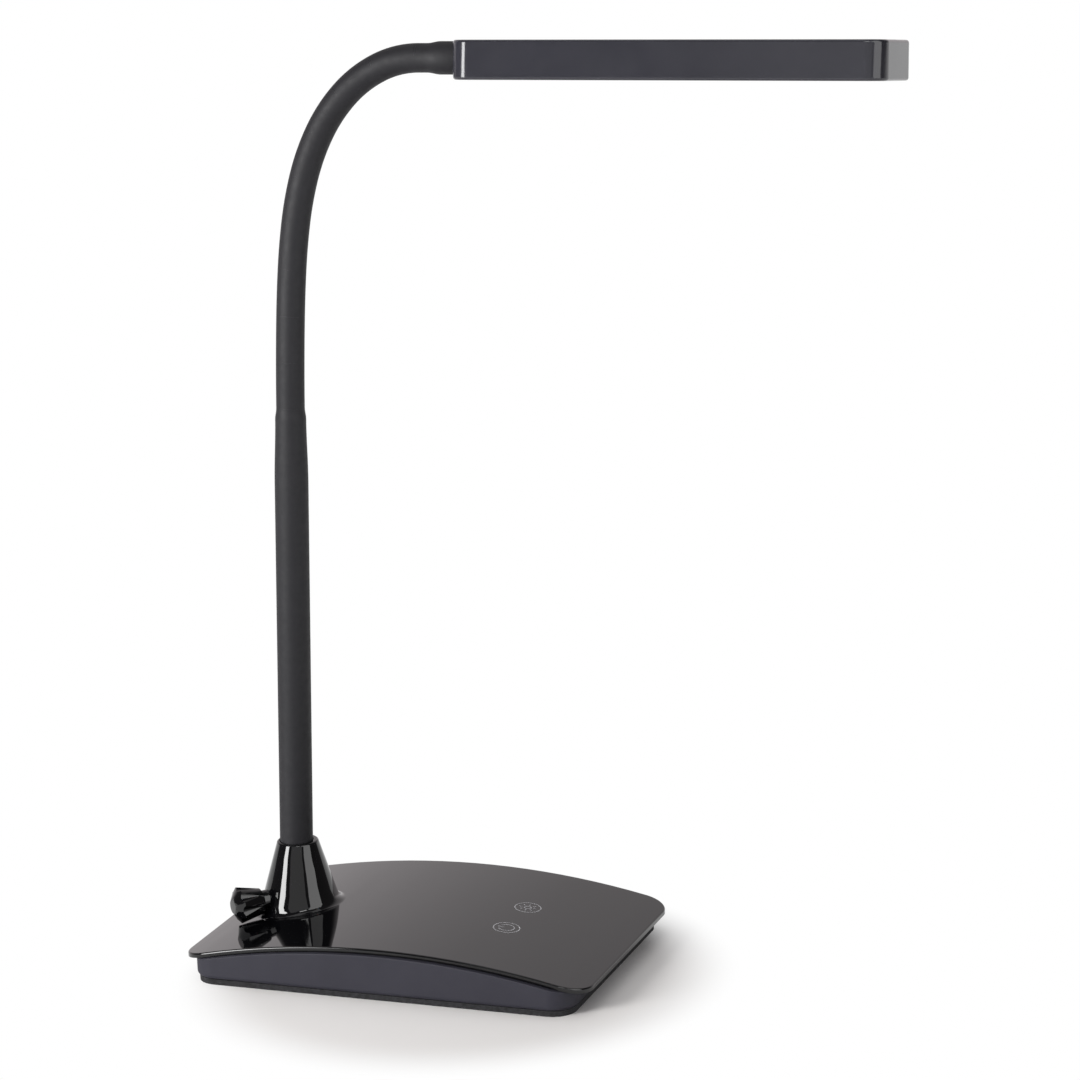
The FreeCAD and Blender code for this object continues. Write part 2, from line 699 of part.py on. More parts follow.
INLET_FACE = "tray_width / 2"
BORE_START = INLET_FACE + " - inlet_bore_depth"
inlet_body = fuse("inlet_body", [
    box("inlet_block", *INLET_SPAN),
    inlet_bar("inlet_barrel", "inlet_barrel_radius", INLET_Y[0] + " + overrun", INLET_FACE)])
inlet_bored = cut("inlet_bored", inlet_body,
                  inlet_bar("inlet_bore", "inlet_bore_radius", BORE_START, INLET_FACE + " + overrun"))
inlet_pin = inlet_bar("inlet_pin", "inlet_pin_radius", BORE_START + " - overrun",
                      INLET_FACE + " - inlet_pin_recess")
node(fuse("inlet_with_pin", [inlet_bored, inlet_pin]), "power_jack")
INLET_LEAD_HEIGHT = "board_height - plug_height / 2"
jack_leads = []
for side in (-1, 1):
    lead = bar(f"jack_lead_{side + 1}", "lead_radius", f"({INLET_Y[0]}) - ({INLET_PLUG_Y[1]})",
               FreeCAD.Placement(Vector(0, 0, 0), OUTWARD))
    set_base(lead, (f"inlet_x + {side} * lead_spacing / 2", INLET_PLUG_Y[1], INLET_LEAD_HEIGHT))
    jack_leads.append(lead)
node(group("jack_lead_pair", jack_leads), "jack_wires")

# Bush, washer and retainer that carry the turning tube

FLANGE_END = "guide_depth + bush_flange"
WASHER_END = FLANGE_END + " + washer_thickness"
RETAINER_TOP = WASHER_END + " + end_gap"
TUBE_END = RETAINER_TOP + " + retainer_height + free_gap"
BUSH_BORE = "tube_radius + running_gap"
bush_blank = turned("bush_blank", [
    (BUSH_BORE, "0"),
    ("bush_flange_radius", "0"),
    ("bush_flange_radius", "bush_flange"),
    ("bush_radius", "bush_flange"),
    ("bush_radius", "bush_flange + guide_depth - bush_depth"),
    (BUSH_BORE, "bush_flange + guide_depth - bush_depth"),
])
bush_blank.Placement = on_tube(value(FLANGE_END))
bush_pad_hole = bar("bush_pad_hole", "pad_radius + running_gap", "guide_radius",
                    on_clamp(value("tube_bore_radius")))
node(cut("bush_cut", bush_blank, bush_pad_hole), "tube_bush")
node(turned("washer_ring", [
    ("tube_radius + free_gap", "0"),
    ("washer_radius", "0"),
    ("washer_radius", "washer_thickness"),
    ("tube_radius + free_gap", "washer_thickness"),
]), "wave_washer", on_tube(value(WASHER_END)))
hexagon = doc.addObject("Part::Prism", "retainer_hexagon")
hexagon.Polygon = 6
bind(hexagon, Circumradius="retainer_flats / sqrt(3)", Height="retainer_height")
retainer_bore = post("retainer_bore", "tube_radius", "0", "0", ("-overrun", "retainer_height + overrun"))
node(cut("retainer_cut", hexagon, retainer_bore), "tube_retainer",
     on_tube(value(RETAINER_TOP + " + retainer_height")))

# Clamp knob, its stud and pad

CLAMP_PAD_START = "tube_radius + end_gap + running_gap"
CLAMP_PAD_LENGTH = f"guide_radius - clamp_travel - ({CLAMP_PAD_START})"
STUD_START = "guide_radius - clamp_travel + running_gap"
KNOB_END = "knob_flare_length + knob_dome_length"
node(bar("clamp_pad_bar", "pad_radius", CLAMP_PAD_LENGTH, on_clamp(value(CLAMP_PAD_START))), "clamp_pad")
node(turned("insert_ring", [
    ("stud_radius + running_gap", "0"),
    ("insert_radius", "0"),
    ("insert_radius", "clamp_boss_reach - guide_radius - end_gap"),
    ("stud_radius + running_gap", "clamp_boss_reach - guide_radius - end_gap"),
]), "stud_insert", on_clamp(value("guide_radius + end_gap")))
node(bar("stud_bar", "stud_radius", f"knob_start + knob_bore_depth - ({STUD_START})",
         on_clamp(value(STUD_START))), "lock_stud")
knob_blank = turned("knob_blank", [
    ("stud_radius", "0"),
    ("knob_throat_radius", "0"),
    ("knob_radius", "knob_flare_length"),
    ("knob_face_radius", KNOB_END),
    ("0", KNOB_END),
    ("0", "knob_bore_depth"),
    ("stud_radius", "knob_bore_depth"),
])

FLUTE_RUN = "(knob_flare_length - flute_start)"
FLUTE_STRETCH = f"({KNOB_END}) / {FLUTE_RUN}"
FLUTE_TIP = ("knob_throat_radius + (knob_radius - knob_throat_radius) * flute_start / knob_flare_length"
             " + flute_tip_radius")
FLUTE_RIM = "knob_radius + flute_radius - flute_depth"
FLUTE_SLANT = f"sqrt(({FLUTE_RIM} - ({FLUTE_TIP}))^2 + {FLUTE_RUN}^2)"


def knob_flute(number):
    """A tapered groove that starts as a point near the throat and is widest at the outer end."""
    flute = doc.addObject("Part::Cone", f"flute_{number}")
    bind(flute, Radius1="flute_tip_radius", Height=f"{FLUTE_SLANT} * {FLUTE_STRETCH}",
         Radius2=f"flute_tip_radius + (flute_radius - flute_tip_radius) * {FLUTE_STRETCH}")
    tip = Vector(value(FLUTE_TIP), 0, value("flute_start"))
    rim = Vector(value(FLUTE_RIM), 0, value("knob_flare_length"))
    around = FreeCAD.Rotation(UP, 360.0 * number / value("flute_count"))
    flute.Placement = FreeCAD.Placement(around.multVec(tip), around * FreeCAD.Rotation(UP, rim - tip))
    return flute


flutes = fuse("flutes", [knob_flute(number) for number in range(int(value("flute_count")))])
node(cut("knob_cut", knob_blank, flutes), "lock_knob", on_clamp(value("knob_start")))

# Turning tube, its cable and the lower sleeve


def neck_layout():
    """Joint centres and link directions: the bend grows link by link from the tube's rake to level."""
    rake = value("tube_rake")
    links = int(value("link_count"))
    centres = [tube_point(value("first_joint_height"))]
    directions = []
    for number in range(1, links + 1):
        share = max(0.0, (number - value("bend_start")) / (links + 1 - value("bend_start")))
        nod = math.radians(rake + (90.0 - rake) * share ** value("bend_power"))
        lean = math.radians(value("neck_lean") * min(number / value("lean_links"), 1.0))
        direction = Vector(math.sin(nod), math.cos(nod) * math.sin(lean), math.cos(nod) * math.cos(lean))
        directions.append(direction)
        centres.append(centres[-1] + direction * value("link_length"))
    return centres, directions


CENTRES, DIRECTIONS = neck_layout()

# A distance from the tube's lower end to the point of its axis at a height above the desk.
ALONG_TUBE = "((({0}) - entry_height) / cos(tube_rake) + " + TUBE_END + ")"
TUBE_LENGTH = ALONG_TUBE.format("tube_top_height")
JOINT_DISTANCE = ALONG_TUBE.format("first_joint_height")
ON_TUBE = on_tube(value(TUBE_END))
SOCKET = "(hose_radius + socket_gap)"
BALL_AT = "sqrt(hose_radius^2 - ({0})^2)"
SOCKET_AT = "sqrt((hose_radius + socket_gap)^2 - ({0})^2)"
SLEEVE_BORE = "core_radius + sleeve_play"
node(turned("tube_body", [
    ("tube_bore_radius", "0"),
    ("tube_radius", "0"),
    ("tube_radius", TUBE_LENGTH),
    ("tube_bore_radius", TUBE_LENGTH),
]), "arm_tube", ON_TUBE)
node(turned("root_body", [
    ("core_bore_radius", TUBE_LENGTH + " - root_overlap"),
    ("tube_bore_radius", TUBE_LENGTH + " - root_overlap"),
    ("tube_bore_radius", TUBE_LENGTH),
    ("core_radius", TUBE_LENGTH + " + overrun"),
    ("core_radius", JOINT_DISTANCE + " + " + BALL_AT.format("core_radius"), "hose_radius", 1),
    ("core_bore_radius", JOINT_DISTANCE + " + " + BALL_AT.format("core_bore_radius")),
]), "gooseneck_root", ON_TUBE)
node(turned("tube_cable_body", [
    ("0", "0"),
    ("cable_radius", "0"),
    ("cable_radius", JOINT_DISTANCE + " + " + BALL_AT.format("cable_radius"), "hose_radius", 1),
    ("0", JOINT_DISTANCE + " + hose_radius"),
]), "tube_cable", ON_TUBE)
SLEEVE_FOOT = f"({TUBE_END}) - (bush_depth - free_gap)"
node(turned("lower_sleeve_body", [
    ("tube_radius + sleeve_play / 2", SLEEVE_FOOT),
    ("lower_sleeve_radius", SLEEVE_FOOT),
    ("lower_sleeve_radius", ALONG_TUBE.format("sleeve_shoulder_height")),
    ("sleeve_neck_radius", ALONG_TUBE.format("sleeve_neck_height")),
    ("hose_radius", ALONG_TUBE.format("sleeve_end_height")),
    ("hose_radius", JOINT_DISTANCE, "hose_radius", 1),
    (SLEEVE_BORE, JOINT_DISTANCE + " + " + BALL_AT.format(SLEEVE_BORE)),
    (SLEEVE_BORE, TUBE_LENGTH + " + 2 * overrun"),
    ("tube_radius + sleeve_play / 2", TUBE_LENGTH + " + overrun"),
]), "lower_sleeve", ON_TUBE)

# Gooseneck: each link runs from the socket round one joint to the ball of the next


def link_outline(inner, outer):
    """Half section of a link's layer: hollow round its own joint, rounded about the next one."""
    return [
        (outer, SOCKET_AT.format(outer)),
        (outer, "link_length + " + BALL_AT.format(outer), "hose_radius", 1),
        (inner, "link_length + " + BALL_AT.format(inner)),
        (inner, SOCKET_AT.format(inner), SOCKET, -1),
    ]


for number, (centre, direction) in enumerate(zip(CENTRES, DIRECTIONS), start=1):
    place = FreeCAD.Placement(centre, FreeCAD.Rotation(UP, direction))
    for layer, inner, outer in (("sleeve", SLEEVE_BORE, "hose_radius"),
                                ("core", "core_bore_radius", "core_radius"),
                                ("cable", "0", "cable_radius")):
        node(turned(f"{layer}_body_{number}", link_outline(inner, outer)), f"{layer}_{number}", place)

# Head: built from the centre of its inner end face, then turned about its length by the neck's lean

HEAD_PLACE = FreeCAD.Placement(CENTRES[-1] + Vector(value("head_reach"), 0, -value("head_drop")),
                               FreeCAD.Rotation(ALONG, -value("neck_lean")))
LAST_JOINT = FreeCAD.Placement(CENTRES[-1], FreeCAD.Rotation(UP, ALONG))
HEAD_TOP = "head_thickness / 2"
HEAD_ROOF = "head_thickness / 2 - head_wall"
HEAD_FLOOR = "-head_thickness / 2"
SPIGOT_END = "head_reach + spigot_depth"
node(turned("head_sleeve_body", [
    ("hose_radius", SOCKET_AT.format("hose_radius")),
    ("hose_radius", "head_reach - head_flare_start"),
    ("head_sleeve_radius", "head_reach - head_flare_end"),
    ("head_sleeve_radius", "head_reach"),
    (SLEEVE_BORE, "head_reach"),
    (SLEEVE_BORE, SOCKET_AT.format(SLEEVE_BORE), SOCKET, -1),
]), "head_sleeve", LAST_JOINT)
node(turned("spigot_body", [
    ("core_radius", SOCKET_AT.format("core_radius")),
    ("core_radius", SPIGOT_END),
    ("core_bore_radius", SPIGOT_END),
    ("core_bore_radius", SOCKET_AT.format("core_bore_radius"), SOCKET, -1),
]), "head_spigot", LAST_JOINT)
node(turned("head_cable_body", [
    ("cable_radius", SOCKET_AT.format("cable_radius")),
    ("cable_radius", SPIGOT_END),
    ("0", SPIGOT_END),
    ("0", SOCKET, SOCKET, -1),
]), "head_cable", LAST_JOINT)


def head_bar(name, radius, start, end):
    """A cylinder on the spigot's axis, in the head's own frame."""
    round_bar = bar(name, radius, f"({end}) - ({start})",
                    FreeCAD.Placement(Vector(0, 0, 0), FreeCAD.Rotation(UP, ALONG)))
    set_base(round_bar, (start, SPIGOT_Y, SPIGOT_Z))
    return round_bar


SPIGOT_Y = "-head_drop * sin(neck_lean)"
SPIGOT_Z = "head_drop * cos(neck_lean)"
SPREADER_TOP = "spreader_height + spreader_thickness"
LED_BOARD_FLOOR = "spreader_height - led_board_thickness"
shell_blank, shell_slab = rounded_slab("shell_blank", ("0", "head_length"), half("head_width"),
                                       (HEAD_FLOOR, HEAD_TOP), "head_corner")
round_edges(shell_blank, shell_slab, "head_edge_round",
            lambda edge: is_level_at(value(HEAD_TOP))(edge) or is_level_at(value(HEAD_FLOOR))(edge))
shell_hollow, _ = rounded_slab("shell_hollow", ("head_wall", "head_length - head_wall"),
                               half("head_width - 2 * head_wall"),
                               (HEAD_FLOOR + " - overrun", HEAD_ROOF), "head_corner - head_wall")
HEAD_POSTS = [(x, f"{side} * head_post_y")
              for x in ("spreader_start + head_post_inset", "head_length / 2",
                        "head_length - spreader_end_gap - head_post_inset")
              for side in (-1, 1)]
shell_posts = [post(f"shell_post_{number}", "head_post_radius", x, y,
                    (SPREADER_TOP, HEAD_ROOF + " + head_wall / 2"))
               for number, (x, y) in enumerate(HEAD_POSTS)]
SADDLE_SCREWS = [("saddle_start + saddle_length / 2", f"{side} * saddle_screw_y") for side in (-1, 1)]
shell_holes = [head_bar("shell_mouth", "core_radius", "-overrun", "head_wall * 2")]
shell_holes += [post(f"shell_pilot_{number}", "small_screw_radius", x, y,
                     (SPREADER_TOP + " - overrun", HEAD_ROOF))
                for number, (x, y) in enumerate(HEAD_POSTS)]
shell_holes += [post(f"saddle_pilot_{number}", "small_screw_radius", x, y,
                     (HEAD_ROOF + " - overrun", HEAD_ROOF + " + small_screw_bite"))
                for number, (x, y) in enumerate(SADDLE_SCREWS)]
shell_open = cut("shell_open", shell_blank, shell_hollow)
node(cut("shell_cut", fuse("shell_with_posts", [shell_open] + shell_posts),
         fuse("shell_openings", shell_holes)), "head_shell", HEAD_PLACE)

SADDLE_FLOOR = SPIGOT_Z + " - core_radius - saddle_wall"
saddle_blank = box("saddle_blank", ("saddle_start", "saddle_start + saddle_length"), half("saddle_width"),
                   (SADDLE_FLOOR, HEAD_ROOF))
saddle_holes = [head_bar("saddle_bore", "core_radius", "0", "saddle_start + saddle_length + overrun")]
saddle_holes += [post(f"saddle_hole_{number}", "small_screw_radius", x, y,
                      (SADDLE_FLOOR + " - overrun", HEAD_ROOF + " + overrun"))
                 for number, (x, y) in enumerate(SADDLE_SCREWS)]
node(cut("saddle_cut", saddle_blank, fuse("saddle_openings", saddle_holes)), "spigot_clamp", HEAD_PLACE)

SPREADER_END = "head_length - spreader_end_gap"
spreader_blank = box("spreader_blank", ("spreader_start", SPREADER_END), half("spreader_width"),
                     ("spreader_height", SPREADER_TOP))
THROUGH_SPREADER = ("spreader_height - overrun", SPREADER_TOP + " + overrun")
spreader_holes = [post(f"spreader_hole_{number}", "small_screw_radius", x, y, THROUGH_SPREADER)
                  for number, (x, y) in enumerate(HEAD_POSTS)]
spreader_holes.append(box("spreader_notch",
                          ("spreader_start - overrun", "spreader_start + spreader_notch_length"),
                          half("spreader_notch_width"), THROUGH_SPREADER))
node(cut("spreader_cut", spreader_blank, fuse("spreader_openings", spreader_holes)),
     "heat_spreader", HEAD_PLACE)

led_board_blank = box("led_board_blank",
                      ("spreader_start + led_board_inset", SPREADER_END + " - led_board_inset"),
                      half("spreader_width - 2 * led_board_inset"), (LED_BOARD_FLOOR, "spreader_height"))
led_board_holes = fuse("led_board_holes", [
    post(f"led_board_hole_{number}", "small_screw_radius", x, y,
         (LED_BOARD_FLOOR + " - overrun", "spreader_height + overrun"))
    for number, (x, y) in enumerate(HEAD_POSTS)])
node(cut("led_board_cut", led_board_blank, led_board_holes), "led_board", HEAD_PLACE)

LED_START = "spreader_start + led_inset"
LED_PITCH = f"({SPREADER_END} - led_inset - led_length - ({LED_START})) / (led_columns - 1)"
leds = []
for column in range(int(value("led_columns"))):
    for row in range(int(value("led_rows"))):
        x = f"{LED_START} + {column} * {LED_PITCH}"
        y = f"led_row_y * (2 * {row} / (led_rows - 1) - 1)"
        leds.append(box(f"led_{column}_{row}", (x, x + " + led_length"),
                        (y + " - led_width / 2", y + " + led_width / 2"),
                        (LED_BOARD_FLOOR + " - led_height", LED_BOARD_FLOOR)))
node(group("led_set", leds), "leds", HEAD_PLACE)

head_screws = [screw(f"head_screw_{number}", "small_head_radius", "small_head_height", "small_screw_radius",
                     "led_board_thickness + spreader_thickness + small_screw_bite * 2",
                     screw_spot(x, y, LED_BOARD_FLOOR + " - small_head_height"))
               for number, (x, y) in enumerate(HEAD_POSTS)]
head_screws += [screw(f"saddle_screw_{number}", "small_head_radius", "small_head_height", "small_screw_radius",
                      f"{HEAD_ROOF} - ({SADDLE_FLOOR}) + small_screw_bite",
                      screw_spot(x, y, SADDLE_FLOOR + " - small_head_height"))
                for number, (x, y) in enumerate(SADDLE_SCREWS)]
node(group("head_screw_set", head_screws), "head_screws", HEAD_PLACE)

BEZEL_TOP = HEAD_FLOOR + " + bezel_thickness"
bezel_blank, _ = rounded_slab("bezel_blank", ("head_wall", "head_length - head_wall"),
                              half("head_width - 2 * head_wall"),
                              (HEAD_FLOOR, BEZEL_TOP + " + bezel_lip_height"), "head_corner - head_wall")
bezel_inside, _ = rounded_slab("bezel_inside", ("head_wall + bezel_lip", "head_length - head_wall - bezel_lip"),
                               half("head_width - 2 * head_wall - 2 * bezel_lip"),
                               (BEZEL_TOP, HEAD_ROOF), "head_corner - head_wall - bezel_lip")
DIFFUSER_START = "saddle_start + saddle_length / 2 + small_head_radius + diffuser_gap"
DIFFUSER_X = (DIFFUSER_START, f"head_length - ({DIFFUSER_START})")
bezel_window = box("bezel_window", (DIFFUSER_X[0] + " + diffuser_ledge", DIFFUSER_X[1] + " - diffuser_ledge"),
                   half("diffuser_width - 2 * diffuser_ledge"), (HEAD_FLOOR + " - overrun", HEAD_ROOF))
node(cut("bezel_cut", bezel_blank, fuse("bezel_openings", [bezel_inside, bezel_window])),
     "head_bezel", HEAD_PLACE)
diffuser_plate, _ = rounded_slab("diffuser_plate", DIFFUSER_X, half("diffuser_width"),
                                 (BEZEL_TOP, BEZEL_TOP + " + diffuser_thickness"), "diffuser_corner")
node(diffuser_plate, "diffuser", HEAD_PLACE)

# Leads that bend

TUBE_FOOT = ON_TUBE.Base
LEAD_REST = value(FLOOR_TOP + " + cable_radius + end_gap")
base_lead = pipe("base_lead", [
    TUBE_FOOT - TUBE_AXIS * value("free_gap"),
    Vector(TUBE_FOOT.x, 0, LEAD_REST),
    Vector(value("cone_x + ballast_hole_radius / 3"), 0, LEAD_REST),
    Vector(value("cone_x + ballast_hole_radius - cable_radius / 2"), 0, value(INLET_LEAD_HEIGHT)),
    Vector(value("board_start"), 0, value(INLET_LEAD_HEIGHT)),
], value("cable_radius"), value("cable_radius * 1.5"))
node(base_lead, "base_wires")
head_leads = []
for side in (-1, 1):
    start = Vector(value("spigot_depth"), value(f"{side} * wire_spacing / 2 + {SPIGOT_Y}"), value(SPIGOT_Z))
    turn = Vector(value("wire_drop_x"), start.y, start.z)
    end = Vector(turn.x, start.y, value("spreader_height"))
    head_leads.append(pipe(f"head_lead_{side + 1}", [start, turn, end],
                           value("wire_radius"), value("wire_bend")))
node(group("head_lead_pair", head_leads), "head_wires", HEAD_PLACE)

# Check every sub-part, then write one file for each

doc.recompute()
for thing in doc.Objects:
    if "Invalid" in thing.State or "Error" in thing.State:
        raise RuntimeError(f"{thing.Label} failed: {thing.State}")
for thing in nodes:
    if thing.Shape.isNull() or not thing.Shape.isValid() or not thing.Shape.Solids:
        raise RuntimeError(f"{thing.Label} has no valid solid")
os.makedirs("parts", exist_ok=True)
for thing in nodes:
    thing.Shape.exportStep(f"parts/{thing.Label}.step")
print(len(nodes), "sub-parts written")
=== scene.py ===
import bpy
import bmesh
import json
import math
from mathutils import Matrix, Vector

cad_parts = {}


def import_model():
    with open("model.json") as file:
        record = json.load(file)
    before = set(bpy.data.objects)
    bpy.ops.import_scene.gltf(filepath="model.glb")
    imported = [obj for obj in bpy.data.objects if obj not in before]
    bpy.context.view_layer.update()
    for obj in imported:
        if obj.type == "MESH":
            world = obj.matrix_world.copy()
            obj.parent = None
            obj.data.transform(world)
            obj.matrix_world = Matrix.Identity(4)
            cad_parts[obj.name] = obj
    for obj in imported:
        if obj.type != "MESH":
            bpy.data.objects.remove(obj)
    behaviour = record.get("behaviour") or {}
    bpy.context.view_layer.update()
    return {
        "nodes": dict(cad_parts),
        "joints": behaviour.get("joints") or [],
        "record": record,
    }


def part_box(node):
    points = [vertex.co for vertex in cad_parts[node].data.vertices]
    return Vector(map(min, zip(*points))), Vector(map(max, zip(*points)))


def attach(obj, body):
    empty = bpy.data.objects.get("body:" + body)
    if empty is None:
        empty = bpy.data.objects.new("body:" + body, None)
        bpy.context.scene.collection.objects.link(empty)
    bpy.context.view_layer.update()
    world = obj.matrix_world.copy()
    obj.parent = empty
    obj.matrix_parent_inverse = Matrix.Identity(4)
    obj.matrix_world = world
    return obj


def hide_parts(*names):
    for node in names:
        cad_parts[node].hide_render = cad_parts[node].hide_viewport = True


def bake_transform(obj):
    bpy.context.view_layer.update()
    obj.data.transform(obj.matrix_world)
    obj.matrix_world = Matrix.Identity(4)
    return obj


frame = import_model()
MM = 0.001

# Sizes of the lamp, in millimetres, as the construction has them.
ARCH_RADIUS = 397.0
CROWN_HEIGHT = 22.27
TOUCH_SPOT = (42.1, 13.5)
TOUCH_RING_RADIUS = 6.0
TOUCH_LINE = 0.5
PRINT_THICKNESS = 0.03
HOSE_RADIUS = 6.2
CORE_RADIUS = 4.95
LOWER_SLEEVE_RADIUS = 7.375
HEAD_SLEEVE_RADIUS = 7.0
SLEEVE_FOOT_DEPTH = 13.7
SLEEVE_SHOULDER_HEIGHT = 212.0
SLEEVE_NECK_HEIGHT = 240.0
SLEEVE_NECK_RADIUS = 6.75
SLEEVE_END_HEIGHT = 245.0
HALF_LINK = 10.0
HEAD_FLARE_START = 18.0
HEAD_FLARE_END = 12.0
SLEEVE_EDGE_LENGTH = 0.4
SLEEVE_EDGE_DROP = 0.3
SLEEVE_END_INSET = 1.0
POWER_ARC_RADIUS = 3.4
POWER_BAR_START = 1.2
POWER_BAR_LENGTH = 2.9
SUN_DISC_RADIUS = 1.5
SUN_RAY_START = 2.5
SUN_RAY_LENGTH = 1.5

# Angles, in degrees.
POWER_GAP = 64.0
SIGN_TOP = 180.0
SHARP_ANGLE = 35.0

# Counts, and distances in metres under which mesh points are joined.
SUN_RAY_COUNT = 8
RING_STEPS = 97
ROUND_SIDES = 96
CORE_SIDES = 32
BEND_RINGS = 20
EASE_STEPS = 8
SLEEVE_STEPS = 12
JOIN_DISTANCE = 1e-6
FLAT_DISTANCE = 1e-7

# The part of a noise's range that is used, as its ends are seldom reached.
NOISE_BAND = (0.3, 0.7)
WHITE = (1.0, 1.0, 1.0, 1.0)


# Colour and node helpers


def linear(code):
    """An sRGB hex colour as Blender's linear one."""
    parts = [int(code[place:place + 2], 16) / 255 for place in (1, 3, 5)]
    straight = [part / 12.92 if part <= 0.04045 else ((part + 0.055) / 1.055) ** 2.4 for part in parts]
    return (*straight, 1.0)


def add_node(tree, kind, links=None, **settings):
    """A node with its settings; each input is set by name, to a value or to a link from another node."""
    node = tree.nodes.new(kind)
    for name, value in settings.items():
        setattr(node, name, value)
    for name, value in (links or {}).items():
        socket = node.inputs[name]
        if isinstance(value, bpy.types.NodeSocket):
            tree.links.new(value, socket)
        else:
            socket.default_value = value
    return node


def surface(name, dark, light, patch, roughness, grit=0.6, depth=0.01, **constants):
    """A moulded, cast or rolled surface: two close shades in patches, varied roughness and fine relief.
    Patch, grit and depth are in millimetres, and the constants go on the shader's own sockets."""
    material = bpy.data.materials.new(name)
    material.use_nodes = True
    tree = material.node_tree
    tree.nodes.clear()
    coordinates = add_node(tree, "ShaderNodeTexCoord")
    place = add_node(tree, "ShaderNodeMapping", {"Vector": coordinates.outputs["Object"],
                                                 "Scale": (1 / MM, 1 / MM, 1 / MM)}).outputs["Vector"]
    clouds = add_node(tree, "ShaderNodeTexNoise", {"Vector": place, "Scale": 1 / patch, "Detail": 3.0})
    shade = add_node(tree, "ShaderNodeValToRGB", {"Fac": clouds.outputs["Fac"]})
    for stop, place_on_ramp, code in zip(shade.color_ramp.elements, NOISE_BAND, (dark, light)):
        stop.position = place_on_ramp
        stop.color = linear(code)
    wipes = add_node(tree, "ShaderNodeTexNoise", {"Vector": place, "Scale": 3 / patch, "Detail": 3.0})
    gloss = add_node(tree, "ShaderNodeMapRange", {
        "Value": wipes.outputs["Fac"], "From Min": NOISE_BAND[0], "From Max": NOISE_BAND[1],
        "To Min": roughness[0], "To Max": roughness[1]})
    grains = add_node(tree, "ShaderNodeTexNoise", {"Vector": place, "Scale": 1 / grit, "Detail": 4.0})
    relief = add_node(tree, "ShaderNodeBump", {"Height": grains.outputs["Fac"], "Distance": depth * MM})
    shader = add_node(tree, "ShaderNodeBsdfPrincipled", {
        "Base Color": shade.outputs["Color"],
        "Roughness": gloss.outputs["Result"],
        "Normal": relief.outputs["Normal"],
        **{socket.replace("_", " "): value for socket, value in constants.items()},
    })
    add_node(tree, "ShaderNodeOutputMaterial", {"Surface": shader.outputs["BSDF"]})
    return material


# Materials


def piano_black_abs():
    """Injection-moulded black ABS, polished: a deep dark body under a clear sharp gloss."""
    return surface("piano_black_abs", "#060608", "#09090b", 60, (0.03, 0.05), grit=14, depth=0.004, IOR=1.52)


def moulded_matte_abs():
    """Spark-eroded black ABS: matte, a little violet, with a fine even grain."""
    return surface("moulded_matte_abs", "#24232e", "#2a2934", 30, (0.55, 0.65), grit=0.5, depth=0.02, IOR=1.4)


def satin_black_abs():
    """Head moulding in satin black ABS: smooth, with broad soft reflections."""
    return surface("satin_black_abs", "#2f2f36", "#35353c", 40, (0.12, 0.17), grit=0.7, depth=0.003, IOR=1.5)


def soft_touch_silicone():
    """Extruded silicone sleeve: matte, slightly dusty, with a faint fine texture."""
    return surface("soft_touch_silicone", "#141318", "#18171c", 8, (0.55, 0.65), grit=0.35, depth=0.012,
                   IOR=1.41)


def eva_foam():
    """Closed-cell EVA foam: matte black with an open cut-cell edge."""
    return surface("eva_foam", "#0d0d0f", "#26262a", 1.6, (0.85, 0.95), grit=1.2, depth=0.5)


def opal_acrylic():
    """Opal acrylic: milky white with a satin face."""
    return surface("opal_acrylic", "#ecebe6", "#f3f2ee", 40, (0.3, 0.36), grit=2.0, depth=0.002,
                   Subsurface_Weight=0.2, Subsurface_Scale=0.003)


def zinc_plated_steel():
    """Bright zinc over steel: pale grey with a slight cloudiness."""
    return surface("zinc_plated_steel", "#b4b6ba", "#c9cbcf", 3, (0.28, 0.4), grit=0.4, depth=0.004,
                   Metallic=1.0)


def rolled_steel():
    """Hot-rolled steel plate: dark grey mill scale."""
    return surface("rolled_steel", "#4a4a4d", "#626266", 12, (0.45, 0.6), grit=0.8, depth=0.02, Metallic=1.0)


def drawn_steel():
    """Drawn steel tube: grey with a soft sheen."""
    return surface("drawn_steel", "#8e9196", "#a5a8ad", 6, (0.3, 0.42), grit=0.3, depth=0.004, Metallic=1.0)


def turned_brass():
    """Turned brass: warm yellow metal."""
    return surface("turned_brass", "#c9a253", "#d8b466", 3, (0.22, 0.32), grit=0.3, depth=0.004, Metallic=1.0)


def sheet_aluminium():
    """Mill-finish aluminium sheet."""
    return surface("sheet_aluminium", "#b9babd", "#cbccce", 10, (0.32, 0.44), grit=0.5, depth=0.004,
                   Metallic=1.0)


def natural_nylon():
    """Moulded natural nylon: creamy and slightly translucent."""
    return surface("natural_nylon", "#dedacb", "#e8e4d6", 5, (0.4, 0.5), grit=0.5, depth=0.005)


def solder_mask_green():
    """Epoxy-glass board under green solder mask."""
    return surface("solder_mask_green", "#0f4a28", "#145a32", 4, (0.25, 0.35), grit=0.8, depth=0.01)


def white_solder_mask():
    """Aluminium-core board under white solder mask."""
    return surface("white_solder_mask", "#e6e6e0", "#efefea", 8, (0.35, 0.45), grit=0.6, depth=0.005)


def epoxy_moulding():
    """Black epoxy of chips and small components."""
    return surface("epoxy_moulding", "#1b1b1c", "#252527", 3, (0.5, 0.6), grit=0.3, depth=0.01)


def phosphor_silicone():
    """Yellow phosphor under clear silicone on each LED."""
    return surface("phosphor_silicone", "#e5c24a", "#eecf63", 2, (0.2, 0.28), grit=0.4, depth=0.004)


def pvc_sheath():
    """Soft black PVC cable sheath."""
    return surface("pvc_sheath", "#161617", "#1f1f21", 4, (0.4, 0.5), grit=0.4, depth=0.01)


def conductive_foam():
    """Grey conductive foam under the touch fields."""
    return surface("conductive_foam", "#4b4b4d", "#5d5d60", 1.5, (0.8, 0.9), grit=0.8, depth=0.1)


